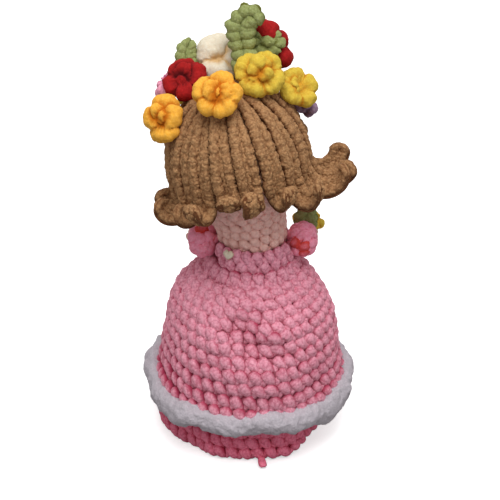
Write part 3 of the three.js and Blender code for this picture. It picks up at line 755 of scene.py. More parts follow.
# The bodice's stitches take a lighter painted shade than plain ones
bm = new_mesh()
crochet(bm, bodice_skin, 21, 9.0 * mm, 7.6 * mm, shade_at=lambda point: -0.1,
        keep=lambda point: abs(point.x) < sleeve_reach or abs(point.y) > sleeve_half)
bodice_stitches = piece("bodice_stitches", bm, "pink", "torso")
bodice = piece("bodice_cloth", cloth(bodice_skin, 3.4 * mm, 1.2 * mm), "pink", "torso", "bodice")
hang(bodice_skin)

torso_skin = Skin("torso", up_by(145 * mm), up_by(118 * mm), 58, 180)
stitched("torso", torso_skin, "skin", "torso", 22)

# The cream yarn's knot, two loops at the bodice's edge
knot_seat = bodice_skin.seat(0.152, 0.12)
# The knot's loops take a lighter painted shade than plain ones
knot_loops = loops_of_yarn(4.6 * mm, 7.4 * mm, 4.4 * mm, kinds=2, seed=3, deeper=-0.2)
bm = new_mesh()
for loop, degrees, aside in ((knot_loops[1], 50, 0), (knot_loops[0], -35, 2.2 * mm)):
    lay(bm, loop, knot_seat @ Matrix.Translation((aside, 0, 1.8 * mm)) @ turned_by(degrees))
piece("neck_yarn_knot", bm, "cream", "torso", slot="skin_yarn")

shoulder_height, shoulder_aside = 163 * mm, 39 * mm
sleeve_inward, sleeve_rise, sleeve_flatness = 0.8 * mm, 1.5 * mm, 0.86
shade_spot_reach = 6 * mm
# Spots on each sleeve, from its middle, whose stitches take the deepest painted shade, the red-orange of its
# creases;
# its other stitches take the lightest painted shade
sleeve_shade_spots = {"left": Vector((-1, 3, 11)) * mm, "right": Vector((3, 11, -1)) * mm}
sides = (("left", 1), ("right", -1))
for side, sign in sides:
    shoulder = Vector((sign * shoulder_aside, 0, shoulder_height))
    seat = Matrix.Translation(shoulder) @ turned_by(sign * 90, "Y")
    sleeve_skin = Skin(f"puff_sleeve_{side}", up_by(2 * mm), up_by(-2 * mm), 0, 180, seat)
    sleeve_middle = shoulder + Vector((-sign * sleeve_inward, 0, sleeve_rise))
    sleeve_skin.settle(sleeve_middle, sleeve_flatness)
    shade_spot = sleeve_middle + sleeve_shade_spots[side]
    stitched(f"puff_sleeve_{side}", sleeve_skin, "sleeve", f"arm_{side}", 23 + sign, 9.4 * mm, 8.6 * mm,
             shade_at=lambda point: 0.6 if (point - shade_spot).length < shade_spot_reach else -0.24)

# Arms: they hang a little forward of the shoulder
arm_out, arm_down, arm_length = math.radians(6), math.radians(21), 41 * mm
for side, sign in sides:
    reach = Vector((sign * math.sin(arm_out), -math.cos(arm_out) * math.cos(arm_down),
                    -math.cos(arm_out) * math.sin(arm_down)))
    seat = Matrix.Translation((sign * shoulder_aside, 0, shoulder_height)) @ turned_to(reach)
    arm_skin = Skin(f"arm_{side}", up_by(arm_length), up_by(16 * mm), 0, 150, seat)
    stitched(f"arm_{side}", arm_skin, "skin", f"arm_{side}", 31 + sign, 7.4 * mm, 6.8 * mm)

# Legs and shoes
foot_aside, foot_shift, shoe_forward = 20 * mm, 5 * mm, 6 * mm
foot_height, shoe_height, hip_aside, hip_height = 22 * mm, 6 * mm, 14.6 * mm, 104 * mm
for side, sign in sides:
    foot = Vector((sign * foot_aside + foot_shift, 0, foot_height))
    leg = Vector((sign * hip_aside, 0, hip_height)) - foot
    seat = Matrix.Translation(foot) @ turned_to(leg)
    leg_skin = Skin(f"leg_{side}", up_by(leg.length), Vector(), 0, 165, seat)
    stitched(f"leg_{side}", leg_skin, "skin", "torso", 41 + sign)
    shoe_seat = Matrix.Translation((foot.x, -shoe_forward, shoe_height))
    shoe_skin = Skin(f"shoe_{side}", Vector(), Vector(), 0, 112, shoe_seat)
    stitched(f"shoe_{side}", shoe_skin, "shoe", "torso", 43 + sign)

# Neck and head, which lean to the doll's left
neck_height, head_tilt = 172 * mm, 10
head_radius, head_half_height, head_rise = 46 * mm, 53 * mm, 7 * mm
head_centre = head_rise + head_half_height
leaning = Matrix.Translation((0, 0, neck_height)) @ turned_by(head_tilt, "Y")
neck_skin = Skin("neck", up_by(6 * mm), Vector(), 67, 180, leaning)
# The neck's stitches take a lighter painted shade than plain ones
stitched("neck", neck_skin, "skin", "neck", 51, shade_at=lambda point: -0.14)

head_seat = leaning @ Matrix.Translation((0, 0, head_centre))
head_skin = Skin("head", Vector(), Vector(), 0, 180, head_seat)


def head_point(angle, offset=0.0):
    """Radius and height on the head, in its own frame, at an angle from its crown."""
    across, along = math.sin(angle), math.cos(angle)
    normal = Vector((across / head_radius, along / head_half_height)).normalized()
    radius = head_radius * across + normal.x * offset
    return radius, head_centre + head_half_height * along + normal.y * offset


# Hair: a strip of crochet for each lock, with a raised edge that runs down one side, round its end and up the
# other side. The strip is laid down the head and opens and curls outwards at its end.
lock_shares = [
    # angle down the head, share of half a turn; curl's radius, share of the hair's thickness; curl's sweep,
    # share of a turn; how much narrower its end is
    (0.59, 0.95, 0.74, 0.45), (0.6, 1.15, 0.74, 0.35), (0.575, 1.2, 0.72, 0.1), (0.55, 1.3, 0.74, 0.2),
    (0.51, 1.15, 0.76, 0.2), (0.53, 1.3, 0.74, 0.3), (0.56, 1.2, 0.76, 0.2), (0.56, 1.5, 0.74, 0.3),
    (0.55, 1.9, 0.7, 0.5), (0.55, 2.3, 0.66, 0.55), (0.55, 2, 0.7, 0.5), (0.44, 1.3, 0.4, 0.2),
    (0.34, 1.1, 0.3, 0.1), (0.32, 1.1, 0.3, 0.1), (0.34, 1.1, 0.3, 0.1), (0.44, 1.3, 0.4, 0.2),
    (0.56, 1.2, 0.6, 0.3), (0.58, 1.0, 0.66, 0.4),
]
lock_count = len(lock_shares)
hair_thickness = 8 * mm
wrap_gap = 0.6 * mm
lock_top = math.radians(4)
lock_overlap = 1.05  # each strip is this much wider than its part of the head
curl_ease = 2.2 * mm  # the yarn's own thickness keeps a curl this much wider
curl_opening = 0.8  # share of the sweep that the loose end keeps
lock_tip_half, lock_tip_thickness = 11 * mm, 7.6 * mm
loose_before = 6 * mm  # a strip comes loose this far above where it leaves the head
flick, flick_length = 0.85, 22 * mm  # how far a loose end turns, and over what length
rope = 3.7 * mm  # half the thickness of a lock's raised edge
rope_inset = 0.64 * rope  # from a strip's edge to its rope's middle
rope_end = 3 * mm  # how much of a rope's length its rounded end takes
edge_step = 0.8 * mm
stitch_pitch = 7.4 * mm
wrinkle, wrinkle_depth = 2.3 * mm, 0.75 * mm
hair_nap, hair_nap_depth = 1.7 * mm, 0.4 * mm
rope_waist, stitch_bulge = 0.84, 0.22  # the rope's thickness between two stitches, and what a stitch adds
sway, sway_length, sway_width = 1.2 * mm, 13 * mm, 9 * mm  # how far a strip wanders sideways, in what waves


class Lock:
    """The middle line of a lock, down the head and round its curl, in the head's frame."""
    steps = 60

    def __init__(self, azimuth, angle_share, curl_share, sweep_share, pointed, seed):
        self.seed = seed
        draw = random.Random(100 + seed)
        self.twist = -flick * math.cos(azimuth) + draw.uniform(-0.2, 0.2)
        self.skew = draw.uniform(-0.16, 0.16)
        self.out = outward(azimuth)
        self.across = Vector((-self.out.y, self.out.x, 0))
        bottom = angle_share * math.pi
        curl_radius = (curl_share * hair_thickness + curl_ease) * draw.uniform(0.88, 1.1)
        sweep = sweep_share * draw.uniform(0.9, 1.15) * curl_opening * full_turn
        half_wedge = lock_overlap * math.tan(math.pi / lock_count)
        self.tip_half = lock_tip_half * (1 - 0.5 * pointed)
        self.line = []
        for i in range(self.steps + 1):
            angle = lock_top + (bottom - lock_top) * i / self.steps
            radius, height = head_point(angle, wrap_gap)
            lean = math.atan2(math.cos(angle) / head_half_height, math.sin(angle) / head_radius)
            widest = radius * half_wedge
            self.line.append((radius, height, lean, widest, hair_thickness))
        middle = (radius + math.cos(lean) * curl_radius, height + math.sin(lean) * curl_radius)
        for i in range(1, self.steps + 1):
            share = i / self.steps
            turned = lean + share * sweep
            self.line.append((
                middle[0] - math.cos(turned) * curl_radius,
                middle[1] - math.sin(turned) * curl_radius,
                turned,
                widest + (self.tip_half - widest) * share,
                hair_thickness + (lock_tip_thickness - hair_thickness) * share,
            ))
        self.lengths = [0.0]
        for a, b in zip(self.line, self.line[1:]):
            self.lengths.append(self.lengths[-1] + math.hypot(b[0] - a[0], b[1] - a[1]))
        self.total = self.lengths[-1]
        self.on_head = self.lengths[self.steps]
        self.turn_at = self.total - self.tip_half + rope_inset - rope  # where the edge goes round the end

    def at(self, length):
        """Radius, height, lean, half width and thickness at a length from the crown."""
        low, high = 0, len(self.lengths) - 1
        while high - low > 1:
            k = (low + high) // 2
            low, high = (k, high) if self.lengths[k] <= length else (low, k)
        share = (length - self.lengths[low]) / max(self.lengths[high] - self.lengths[low], 1e-9)
        return [a + (b - a) * share for a, b in zip(self.line[low], self.line[high])]

    def loose(self, length):
        """How loose the strip is at a length, from 0 on the head to 1."""
        return clamp((length - self.on_head + loose_before) / loose_before)

    def frame(self, length, side, lift):
        """A point on the lock, off its middle line by side and above its middle thickness by lift."""
        radius, height, lean, _, thickness = self.at(length)
        normal = self.out * math.cos(lean) + up_by(math.sin(lean))
        wander = sway * noise.noise(Vector((length / sway_length, 4.7 * self.seed, side / sway_width)))
        loose = max(0.0, length - self.on_head + loose_before)
        turned = self.twist * clamp(loose / flick_length)
        wander += self.skew * loose
        point = (self.out * radius + up_by(height) + normal * (thickness * 0.5 + lift)
                 + self.across * (side * math.cos(turned) + wander) + normal * side * math.sin(turned))
        return point, normal * math.cos(turned) - self.across * math.sin(turned)

    def edge(self):
        """The route of the raised edge: length, side, lift and thickness share at equal steps."""
        tip = self.tip_half - rope_inset
        route = []
        down = max(2, round(self.turn_at / edge_step))
        for i in range(down + 1):  # down the side that lies over the lock before it
            length = self.turn_at * i / down
            half = self.at(length)[3]
            fat = min(1.0, 0.9 * half / rope) * self.thinned(length)
            route.append((length, min(rope, 0.7 * half) - half, 0.9 * mm * fat, fat))
        around = max(6, round(math.pi * tip / edge_step))
        wide = self.at(self.turn_at)[3] - rope_inset
        for i in range(1, around):  # round the end
            turned = math.pi * i / around
            length = self.turn_at + math.sin(turned) * tip
            route.append((length, -math.cos(turned) * wide, 0.8 * mm, self.thinned(self.turn_at)))
        for i in range(down + 1):  # back up the side that lies under the next lock
            length = self.turn_at * (1 - i / down)
            half = self.at(length)[3]
            lift = -1.0 * mm if length < self.on_head else 0.6 * mm
            fat = min(1.06, 0.52 * half / rope) * self.thinned(length)
            route.append((length, half - min(rope, 0.5 * half), lift, fat))
        return route

    def thinned(self, length):
        """The raised edge is thinner where the strip leaves the head."""
        return 1 - 0.28 * clamp(2 * (length - self.on_head) / (self.total - self.on_head))

    def middle(self, side_share, lift, fat):
        """The route of a recessed rope between the edges."""
        start, end = 0.3 * self.on_head, self.total - rope - 4 * mm
        count = round((end - start) / (0.9 * mm))
        route = []
        for i in range(count + 1):
            length = start + (end - start) * i / count
            half = self.at(length)[3]
            route.append((length, side_share * half, lift, fat * min(1.0, 0.6 * half / rope)))
        return route


def strand(lock, route, columns, seed):
    """A plump rope of stitches along a route on a lock, whose pile is crinkled."""
    places = [lock.frame(length, side, lift) for length, side, lift, _ in route]
    count = len(route) - 1
    walked = walked_along([point for point, _ in places])
    crowns = {}

    def spot(u, v):
        j = round(v * count)
        point, normal = places[j]
        on_head = route[j][0] < lock.on_head
        share = route[j][3]
        along = (places[min(j + 1, count)][0] - places[max(j - 1, 0)][0]).normalized()
        side = along.cross(normal).normalized()
        around = full_turn * (u % 1.0)
        direction = side * math.cos(around) + side.cross(along) * math.sin(around)
        stitch = math.pi * (walked[j] / stitch_pitch + 0.31 * lock.seed + 0.17 * seed)
        lump = abs(math.sin(stitch)) ** 0.55
        ripple = abs(noise.noise(Vector((walked[j] / wrinkle + 3.0 * seed, 1.1 * math.cos(around),
                                         1.1 * math.sin(around) + 7.3 * lock.seed))))
        folds = (min(3.2 * ripple, 1.0) ** 0.6 - 0.6) * (1.0 if on_head else 0.55)
        pile = shifted_noise(point + direction * rope, hair_nap, lock.seed + seed)
        # Painted light and shade: the crown is higher on the faces that turn out and on the stitches, and
        # lower in the wrinkles
        facing = math.sin(around) if route[j][0] < lock.on_head - 4 * mm else abs(math.sin(around))
        crowns[(round(u, 5), j)] = 0.3 + 0.55 * max(facing, 0) ** 0.7 * (0.6 + 0.4 * lump) + 0.45 * folds
        radius = rope * share * (rope_waist + stitch_bulge * lump)
        radius += (wrinkle_depth * folds + hair_nap_depth * pile) * min(share, 1)
        close = round_end(min(walked[j], walked[-1] - walked[j]) / rope_end)
        return leaning @ (point + direction * radius * close)

    return grid_on(columns, count, spot, lambda u, v: crowns[(round(u, 5), round(v * count))])


# The knobs between the raised edges take a darker painted shade
curl_knobs = loops_of_yarn(4.6 * mm, 5.8 * mm, 4.4 * mm, columns=12, rows=6, kinds=4, seed=17, deeper=0.2)
knob_lift, knob_pitch, knob_aside = 0.6 * mm, 5 * mm, 0.26  # aside is a share of the strip's half width
knobs_above, knobs_short = 4 * mm, 6.4 * mm  # they start above where the strip comes off, and end short


def lay_knobs(bm, lock):
    """The stitches between the raised edges, which show on both faces where the strip is loose."""
    draw = random.Random(300 + lock.seed)
    start, end = lock.on_head - knobs_above, lock.total - knobs_short
    count = max(2, round((end - start) / knob_pitch))
    for i in range(count + 1):
        middle = start + (end - start) * i / count
        for column in (-1, 1):
            side = column * knob_aside * lock.at(middle)[3] + draw.uniform(-0.5, 0.5) * mm
            length = min(middle + 1.2 * mm * column, end)
            for face in (-1, 1):
                lift = (face - 1) * knob_lift
                point, normal = lock.frame(length, side, lift)
                ahead = lock.frame(length + 0.5 * mm, side, lift)[0] - point
                axes = axes_of(ahead.cross(normal * face).normalized(), normal * face)
                tilt = turned_by(24 * column + draw.uniform(-14, 14))
                size = Matrix.Scale(draw.uniform(0.88, 1.08), 4)
                lay(bm, draw.choice(curl_knobs), leaning @ Matrix.Translation(point) @ axes @ tilt @ size)


def join(bm, other):
    """Adds the faces of one bmesh to another."""
    mesh = mesh_of(other, "joined")
    bm.from_mesh(mesh)
    bpy.data.meshes.remove(mesh)


flat_short, flat_lift, flat_half = 3.2 * mm, -1.4 * mm, 1.6 * mm
flat_lump = 4.6 * mm


def backing(lock):
    """The flat of the strip, under its ropes, which is as round at its end as they are."""
    end = lock.total - flat_short

    def lumps(point):
        return abs(shifted_noise(point, flat_lump, lock.seed))

    def spot(u, v):
        length = end * v
        loose = lock.loose(length)
        rounded = math.sqrt(1 - clamp((length - lock.turn_at) / (end - lock.turn_at)) ** 2)
        close = math.sqrt(max(0.0, 1 - (2 * v - 1) ** 16)) * rounded
        around = full_turn * (u % 1.0)
        side = math.cos(around) * lock.at(length)[3] * rounded * 0.9
        point, normal = lock.frame(length, side, flat_lift)
        fat = flat_half - 0.4 * loose * mm + (1.6 - loose) * (0.5 - 1.6 * lumps(point)) * mm
        return leaning @ (point + normal * math.sin(around) * fat * close)

    # Painted shade: the flat is darker where the strip hangs loose and where its lumps sink
    def shade(u, v):
        point = lock.frame(end * v, math.cos(full_turn * u) * 8 * mm, 0)[0]
        return 0.62 - 0.3 * lock.loose(end * v) - 0.9 * lumps(point)
    return grid_on(24, 110, spot, shade)


for i, shares in enumerate(lock_shares):
    lock = Lock(full_turn * i / lock_count, *shares, i)
    bm = strand(lock, lock.edge(), 20, 1)
    join(bm, strand(lock, lock.middle(0.04, -0.9 * mm, 0.72), 14, 2))
    join(bm, backing(lock))
    lay_knobs(bm, lock)
    node = f"hair_lock_{i + 1:02d}"
    piece(node, bm, "hair", "head", node)


under_hair = math.radians(14)  # the head's stitches start this far above the end of the lock over them


def bare_of_hair(point):
    """Whether the head's stitches show at a point, past the end of the lock that hangs there."""
    local = head_seat.inverted() @ point
    azimuth = math.atan2(local.y, local.x) % full_turn
    shares = lock_shares[round(azimuth / full_turn * lock_count) % lock_count]
    angle = math.acos(max(-1, min(1, local.normalized().z)))
    return angle > shares[0] * math.pi - under_hair


# The head's stitches take a lighter painted shade than plain ones
stitched("head", head_skin, "skin", "head", 52, 9.0 * mm, 8.0 * mm, keep=bare_of_hair,
         shade_at=lambda point: -0.14)


# Roses: a ribbon of crochet rolled up, whose petals bulge round a bud
def on_head(azimuth, angle, offset):
    """The frame of a piece that stands on the head, with its own +Z pointing away from the head."""
    foot, tip = (outward(math.radians(azimuth), *head_point(math.radians(angle), offset + further))
                 for further in (0, head_radius))
    turned = up_by(1).rotation_difference((tip - foot).normalized()).to_matrix().to_4x4()
    return leaning @ Matrix.Translation(foot) @ turned


def facing(place, axis):
    """A frame at a place: Z is the axis, and X lies level, to the right as seen from behind the doll."""
    to_right = Vector((-1, 0, 0))
    across = (to_right - axis * axis.dot(to_right)).normalized()
    return Matrix.Translation(place) @ axes_of(across, axis)


def bend_of(direction, seed):
    """A smooth bend of a direction, the same in every run."""
    point = direction * 1.8 + Vector((seed, 0, 3 * seed))
    return Vector([noise.noise(point + Vector((0, 7.3 * k, 4.1 * k))) for k in range(3)])


bloom_detail = 5
petal_bend = 0.17
groove, soft = 1.6 * mm, 4.0 * mm  # the depth of the crease between two petals, and how far it reaches
petal_lump, petal_lump_height = 5.5 * mm, 0.4 * mm
petal_tuft, petal_tuft_height = 1.9 * mm, 0.36 * mm
heart_shade_reach = 0.8  # share of the radius inside which a rose takes a painted shade, darker towards its heart


def bloom(seat, radius, petals, seed):
    """One closed skin over a rose's petals, with a soft crease where two meet. A petal is a chain of round
    lumps, each with its centre, from the rose's middle, and its radius."""
    bm = new_mesh()
    layer = bm.verts.layers.float["crown"]
    bmesh.ops.create_icosphere(bm, subdivisions=bloom_detail, radius=1)
    for vert in bm.verts:
        ray = vert.co.normalized()
        bent = (ray + petal_bend * bend_of(ray, seed)).normalized()
        best, second = 0.0, 0.0
        for petal in petals:
            reach = 0.0
            for centre, fat in petal:
                along = bent.dot(centre)
                inside = along * along - centre.length_squared + fat * fat
                if inside > 0:
                    reach = max(reach, along + math.sqrt(inside))
            if reach > best:
                best, second = reach, best
            elif reach > second:
                second = reach
        opened = min((best - second) / soft, 1.0)
        lumps = 0.4 - 2 * abs(shifted_noise(ray * best, petal_lump, seed))
        tufts = shifted_noise(ray * best, petal_tuft, seed + 5)
        deep = max(0.0, heart_shade_reach - best / radius)
        # Painted light and shade: darker in the crease between two petals and towards the heart, lighter on
        # the lumps and tufts
        vert[layer] = 0.24 + 0.68 * opened ** 0.6 + 0.14 * lumps + 0.12 * tufts - 0.9 * deep
        best += petal_lump_height * lumps + petal_tuft_height * tufts - groove * (1 - opened) ** 2
        vert.co = seat @ (ray * best)
    return bm


lump_pitch = 0.24  # share of the rose's radius


def petal_on(radius, start, end, ring, height, fat):
    """A petal's rim: lumps along an arc about the rose's axis, from start to end in degrees. The ring's
    radius, the height and the fatness are shares of the rose's radius."""
    span = math.radians((end - start) % 360)
    lumps = max(2, round(span * ring / lump_pitch) + 1)
    chain = []
    for k in range(lumps):
        share = k / (lumps - 1)
        swell = 1 - 0.2 * (2 * share - 1) ** 2
        centre = outward(math.radians(start) + span * share, ring, height - 0.3 * (1 - swell))
        chain.append((centre * radius, fat * swell * radius))
    return chain


whorl_turn = 37
whorls = [
    # petals; shares of the radius for ring, height and fatness; half the part of their room that they fill
    (5, 0.62, 0.0, 0.34, 0.42), (3, 0.34, 0.3, 0.25, 0.46), (2, 0.13, 0.46, 0.2, 0.3),
]


def full_rose(seed):
    """Five outer petals, three inner ones and a bud of two that clasp each other."""
    draw = random.Random(seed)
    start, petals = draw.uniform(0, 360), []
    for count, ring, height, fat, part in whorls:
        half = 360 / count * part
        for k in range(count):
            middle = start + 360 * (k + draw.uniform(-0.15, 0.15)) / count
            petals.append((middle - half, middle + half, ring * draw.uniform(0.94, 1.06),
                           height + draw.uniform(-0.07, 0.07), fat * draw.uniform(0.92, 1.08)))
        start += whorl_turn
    return petals


hair_top = wrap_gap + hair_thickness + 0.3 * mm
rose_radius, rose_height = 16 * mm, 17 * mm
viewer = Vector((0, 0.9, 0.45)).normalized()
rose_forms = {
    # for each petal: where its arc starts and ends in degrees, and the shares for ring, height and fatness
    "rose_amber_left": [
        (50, 130, 0.5, 0, 0.46), (140, 215, 0.46, 0.1, 0.42), (-45, 30, 0.46, 0, 0.42),
        (-140, -60, 0.74, -0.1, 0.34), (75, 180, 0.22, 0.3, 0.32), (-80, 30, 0.22, 0.24, 0.28),
    ],
    "rose_red_left": [
        (60, 150, 0.6, 0, 0.4), (-35, 45, 0.6, 0.06, 0.4), (-115, -50, 0.6, 0, 0.38),
        (165, 235, 0.62, 0, 0.36), (0, 130, 0.32, 0.22, 0.34),
    ],
    "rose_amber_back": [
        (118, 200, 0.62, 0.02, 0.36), (42, 100, 0.6, 0.06, 0.36), (-22, 28, 0.66, 0, 0.33),
        (-98, -36, 0.66, -0.05, 0.33), (-168, -112, 0.63, -0.05, 0.33), (90, 230, 0.28, 0.24, 0.3),
        (-60, 60, 0.34, 0.2, 0.24),
    ],
    "rose_yellow_back": [
        (104, 188, 0.66, -0.05, 0.32), (22, 92, 0.66, 0, 0.32), (-62, 8, 0.68, -0.05, 0.32),
        (-148, -76, 0.66, -0.1, 0.32), (45, 185, 0.24, 0.3, 0.36), (-75, 20, 0.26, 0.24, 0.28),
        (-160, -100, 0.38, 0.08, 0.24),
    ],
    "rose_yellow_right": [
        (78, 165, 0.58, 0.08, 0.36), (182, 268, 0.6, 0.04, 0.35), (-78, -8, 0.6, 0, 0.34),
        (4, 68, 0.58, 0.05, 0.35), (110, 235, 0.36, 0.24, 0.22),
    ],
    "rose_cream_top": [
        (40, 175, 0.34, 0.08, 0.58), (-40, 30, 0.5, 0.14, 0.38), (205, 335, 0.52, 0, 0.42),
        (60, 120, 0.56, -0.5, 0.36), (170, 250, 0.56, -0.42, 0.36), (-70, 10, 0.56, -0.46, 0.36),
    ],
    "rose_red_top": [
        (-130, -50, 0.54, 0, 0.46), (-35, 30, 0.6, 0, 0.4), (5, 34, 1.02, -0.56, 0.38),
        (100, 160, 0.5, 0, 0.4), (175, 225, 0.5, 0, 0.4),
    ],
}
bed_share, open_bed_share = 0.52, 0.34  # the round bed under the petals; a small one leaves a hole
bed_sink = 0.12
crown_roses = {
    # node: azimuth and angle from the crown in degrees, share of a rose's radius, yarn, how far it turns to
    # the back, and how high the yarn's fullness lifts it
    "rose_amber_left": (20, 46, 1.12, "amber", 0.45, 3 * mm),
    "rose_red_left": (350, 23.5, 1.1, "red", 0.6, 4 * mm),
    "rose_amber_back": (85, 27.5, 1.16, "amber", 0.35, 4 * mm),
    "rose_yellow_back": (162, 24.5, 1.2, "yellow", 0.6, 4.5 * mm),
    "rose_yellow_right": (187, 51, 1.08, "yellow", 0.55, 4.5 * mm),
    "rose_cream_top": (275, 20, 1.32, "cream", 0.7, 7 * mm),
    "rose_pink_left": (336, 37, 0.94, "rose_pink", 0, 8 * mm),
    "rose_yellow_front": (306, 51, 0.84, "yellow", 0, 0),
    "rose_red_front": (275, 54, 0.84, "red", 0, 0),
    "rose_amber_front": (244, 50, 0.87, "amber", 0, 0),
    "rose_lilac_right": (208, 68, 0.88, "lilac", 0, 3 * mm),
}


def rose(place, axis, radius, form, seed, bed=bed_share):
    """A rose of yarn about a place, on a round bed of its own petals' feet."""
    petals = [petal_on(radius, *row) for row in form]
    petals.append([(up_by(-bed_sink * radius), bed * radius)])
    return bloom(facing(place, axis), radius, petals, seed)


for seed, (node, row) in enumerate(crown_roses.items()):
    azimuth, angle, radius_share, yarn, turn_share, lift = row
    seat = on_head(azimuth, angle, hair_top) @ Matrix.Translation((0, 0, 0.46 * rose_height + lift))
    axis = (seat.to_3x3() @ up_by(1)).lerp(viewer, turn_share).normalized()
    form = rose_forms.get(node) or full_rose(seed)
    bed = open_bed_share if node == "rose_yellow_right" else bed_share
    bm = rose(seat.translation, axis, radius_share * rose_radius, form, seed, bed)
    piece(node, bm, yarn, "head", node)

# The tall rose on its stem
stem_azimuth, stem_angle, stem_length, stem_radius = 216, 34, 26 * mm, 3.4 * mm
stem_stitches, stem_end = 5, 0.08
tall_rose_radius, tall_rose_lift = 17.5 * mm, 4 * mm
tall_rose_aside = Vector((6.4 * mm, 0, 4.6 * mm))
stem_seat = on_head(stem_azimuth, stem_angle, hair_top)


def stem_place(u, v):
    around = full_turn * u
    wave = abs(math.sin(math.pi * v * stem_stitches + around / 2))
    wide = stem_radius * (0.86 + 0.14 * wave) * round_end(min(v, 1 - v) / stem_end)
    return stem_seat @ outward(around, wide, stem_length * v)


piece("crown_stem", grid_on(14, 30, stem_place, lambda u, v: 0.6), "green", "head", "crown_stem")
tall_place = stem_seat @ up_by(stem_length + tall_rose_lift) + tall_rose_aside
away = (stem_seat.to_3x3() @ up_by(1) + Vector((0, -0.6, 0))).normalized()
tall_rose = rose(tall_place, away, tall_rose_radius, rose_forms["rose_red_top"], 20)
piece("rose_red_top", tall_rose, "red", "head", "rose_red_top")

# Sepals that cup the tall rose from behind: knobs of crochet round a raised middle one
cup_radius, cup_behind = 15.5 * mm, 15 * mm
cup_shift = Vector((-0.6 * mm, 0, -6.2 * mm))
cup_knobs = [(60 * k - 9, 60 * k + 9, 0.56, 0.0, 0.42) for k in range(6)] + [(0, 60, 0.05, 0.26, 0.42)]
cup_seat = facing(tall_place + viewer * cup_behind + cup_shift, viewer) @ Matrix.Diagonal((1, 0.78, 0.66, 1))
cup = bloom(cup_seat, cup_radius, [petal_on(cup_radius, *knob) for knob in cup_knobs], 41)
piece("leaf_side", cup, "green", "head", "leaf_side")

# Leaves: strips of crochet two stitches wide
leaf_length, leaf_thickness = 47 * mm, 12 * mm
leaf_pitch = 5.2 * mm
loop_width, loop_tilt = 11 * mm, 24
loop_spread = 1.22  # how much wider a loop is than its half of the leaf
leaf_loops = loops_of_yarn(loop_width, 10.5 * mm, 9.5 * mm, columns=16, rows=8, kinds=5, seed=8)


def curve_through(points, share):
    """A point and a direction on a smooth curve through points."""
    count = len(points) - 1
    x = clamp(share) * count
    i = min(int(x), count - 1)
    t = x - i
    p1, p2 = points[i], points[i + 1]
    p0 = points[i - 1] if i > 0 else p1 * 2 - p2
    p3 = points[i + 2] if i + 2 <= count else p2 * 2 - p1
    first, second, third = p2 - p0, 2 * p0 - 5 * p1 + 4 * p2 - p3, 3 * p1 - p0 - 3 * p2 + p3
    point = 0.5 * (2 * p1 + first * t + second * t * t + third * t ** 3)
    along = 0.5 * (first + 2 * second * t + 3 * third * t * t)
    return point, along.normalized()


def leaf(seat, length, path_shares, half_widths, thickness, seed):
    """A strip that bends in its own plane, with a column of loops on each side of its middle seam."""
    draw = random.Random(seed)
    points = [Vector((x, 0, z)) * length for x, z in path_shares]
    reach = walked_along([curve_through(points, k / 60)[0] for k in range(61)])[-1]
    rows = max(3, round(reach / leaf_pitch))
    bm = new_mesh()
    for row in range(rows):
        share = (row + 0.5) / rows
        middle, along = curve_through(points, share)
        across = Vector((along.z, 0, -along.x))
        x = share * (len(half_widths) - 1)
        k = min(int(x), len(half_widths) - 2)
        half = half_widths[k] + (half_widths[k + 1] - half_widths[k]) * (x - k)
        for side in (-1, 1):
            for face in (-1, 1):
                out = Vector((0, face, 0))
                centre = middle + across * side * half * 0.5 + out * thickness * 0.15
                place = Matrix.Translation(centre) @ axes_of(along.cross(out), out)
                size = Matrix.Diagonal((half * loop_spread / loop_width * draw.uniform(0.95, 1.1),
                                        draw.uniform(0.95, 1.1),
                                        thickness / leaf_thickness * draw.uniform(0.92, 1.08), 1))
                tilt = turned_by(loop_tilt * side * face + draw.uniform(-10, 10))
                lay(bm, draw.choice(leaf_loops), seat @ place @ size @ tilt)
    bmesh.ops.recalc_face_normals(bm, faces=bm.faces)
    return bm


leaf_lift = hair_top + leaf_thickness / 2
leaves = {
    # node: azimuth, angle and turn of its foot in degrees, length, path as shares of it, half widths in mm
    "leaf_tall": (200, 15, 172, leaf_length,
                  [(0, 0), (-0.01, 0.26), (-0.07, 0.5), (-0.11, 0.66), (-0.06, 0.81), (0.05, 0.86),
                   (0.11, 0.8)],
                  [6.8, 7.8, 8.6, 8.8, 8, 6.8, 5]),
    "leaf_left": (320, 28, 190, 0.62 * leaf_length, [(0, 0), (0.05, 0.4), (0.2, 0.7), (0.4, 0.86)],
                  [6, 7, 6.6, 4.2]),
}
for seed, (node, row) in enumerate(leaves.items()):
    azimuth, angle, degrees, length, path, half_widths = row
    seat = on_head(azimuth, angle, leaf_lift) @ turned_by(degrees)
    bm = leaf(seat, length, path, [half * mm for half in half_widths], leaf_thickness, seed)
    piece(node, bm, "green", "head", node)


# The rose and the leaf in the right hand
def foot_of(node):
    """The middle of a node's underside."""
    low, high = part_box(node)
    return Vector(((low.x + high.x) / 2, (low.y + high.y) / 2, low.z))


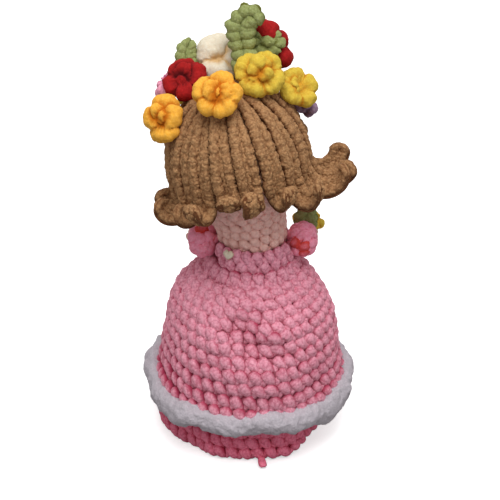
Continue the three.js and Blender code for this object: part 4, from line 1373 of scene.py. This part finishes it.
hand_rose_radius, hand_rose_lift, hand_rose_aside = 14.5 * mm, 8 * mm, 1 * mm
hand_axis = Vector((-0.3, -0.2, 1)).normalized()
hand_seat = Matrix.Translation(foot_of("hand_rose") + Vector((hand_rose_aside, 0, 0))) @ turned_by(-8, "Y")
hand_rose = rose(hand_seat @ up_by(hand_rose_lift), hand_axis, hand_rose_radius, full_rose(31), 31)
piece("hand_rose", hand_rose, "yellow", "arm_right", "hand_rose")

hand_leaf_path = [(0, 0), (0, 0.35), (0.04, 0.7), (0.1, 1)]
hand_leaf_halves = [5 * mm, 7.5 * mm, 7.5 * mm, 5 * mm]
hand_leaf_seat = Matrix.Translation(foot_of("hand_leaf")) @ turned_by(180)
hand_leaf = leaf(hand_leaf_seat, 20 * mm, hand_leaf_path, hand_leaf_halves, 5 * mm, 9)
piece("hand_leaf", hand_leaf, "green", "arm_right", "hand_leaf")


# Face: domed eyes of black plastic, whose polish gives a sharp highlight, and a small stuffed nose
def polished_plastic(name, colour):
    material, tree = new_tree(name)
    place = add(tree, "ShaderNodeTexCoord").outputs["Object"]
    dust = add(tree, "ShaderNodeTexNoise", {"Vector": place, "Scale": 900.0, "Detail": 2.0})
    worn = add(tree, "ShaderNodeMapRange", {"Value": dust.outputs["Fac"], "To Min": 0.06, "To Max": 0.16})
    gloss = add(tree, "ShaderNodeBsdfPrincipled",
                {"Base Color": linear(colour), "Roughness": worn.outputs[0], "IOR": 1.49, "Coat Weight": 0.3})
    add(tree, "ShaderNodeOutputMaterial", {"Surface": gloss.outputs[0]})
    return material


eye_plastic = polished_plastic("Acrylic_Black_Moulded", "#141214")
washer_plastic = polished_plastic("Polythene_White_Moulded", "#efece6")
for side in ("left", "right"):
    for node, plastic in ((f"eye_{side}", eye_plastic), (f"eye_washer_{side}", washer_plastic)):
        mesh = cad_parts[node].data
        mesh.materials.clear()
        mesh.materials.append(plastic)

nose_low, nose_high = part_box("nose")
nose_seat = Matrix.Translation((Vector(nose_low) + Vector(nose_high)) / 2) @ turned_by(90, "X")
bm = new_mesh()
lay(bm, loops_of_yarn(6.4 * mm, 4.8 * mm, 4.6 * mm, columns=16, rows=8, kinds=1)[0], nose_seat)
piece("nose_stuffed", bm, "skin", "head", "nose")
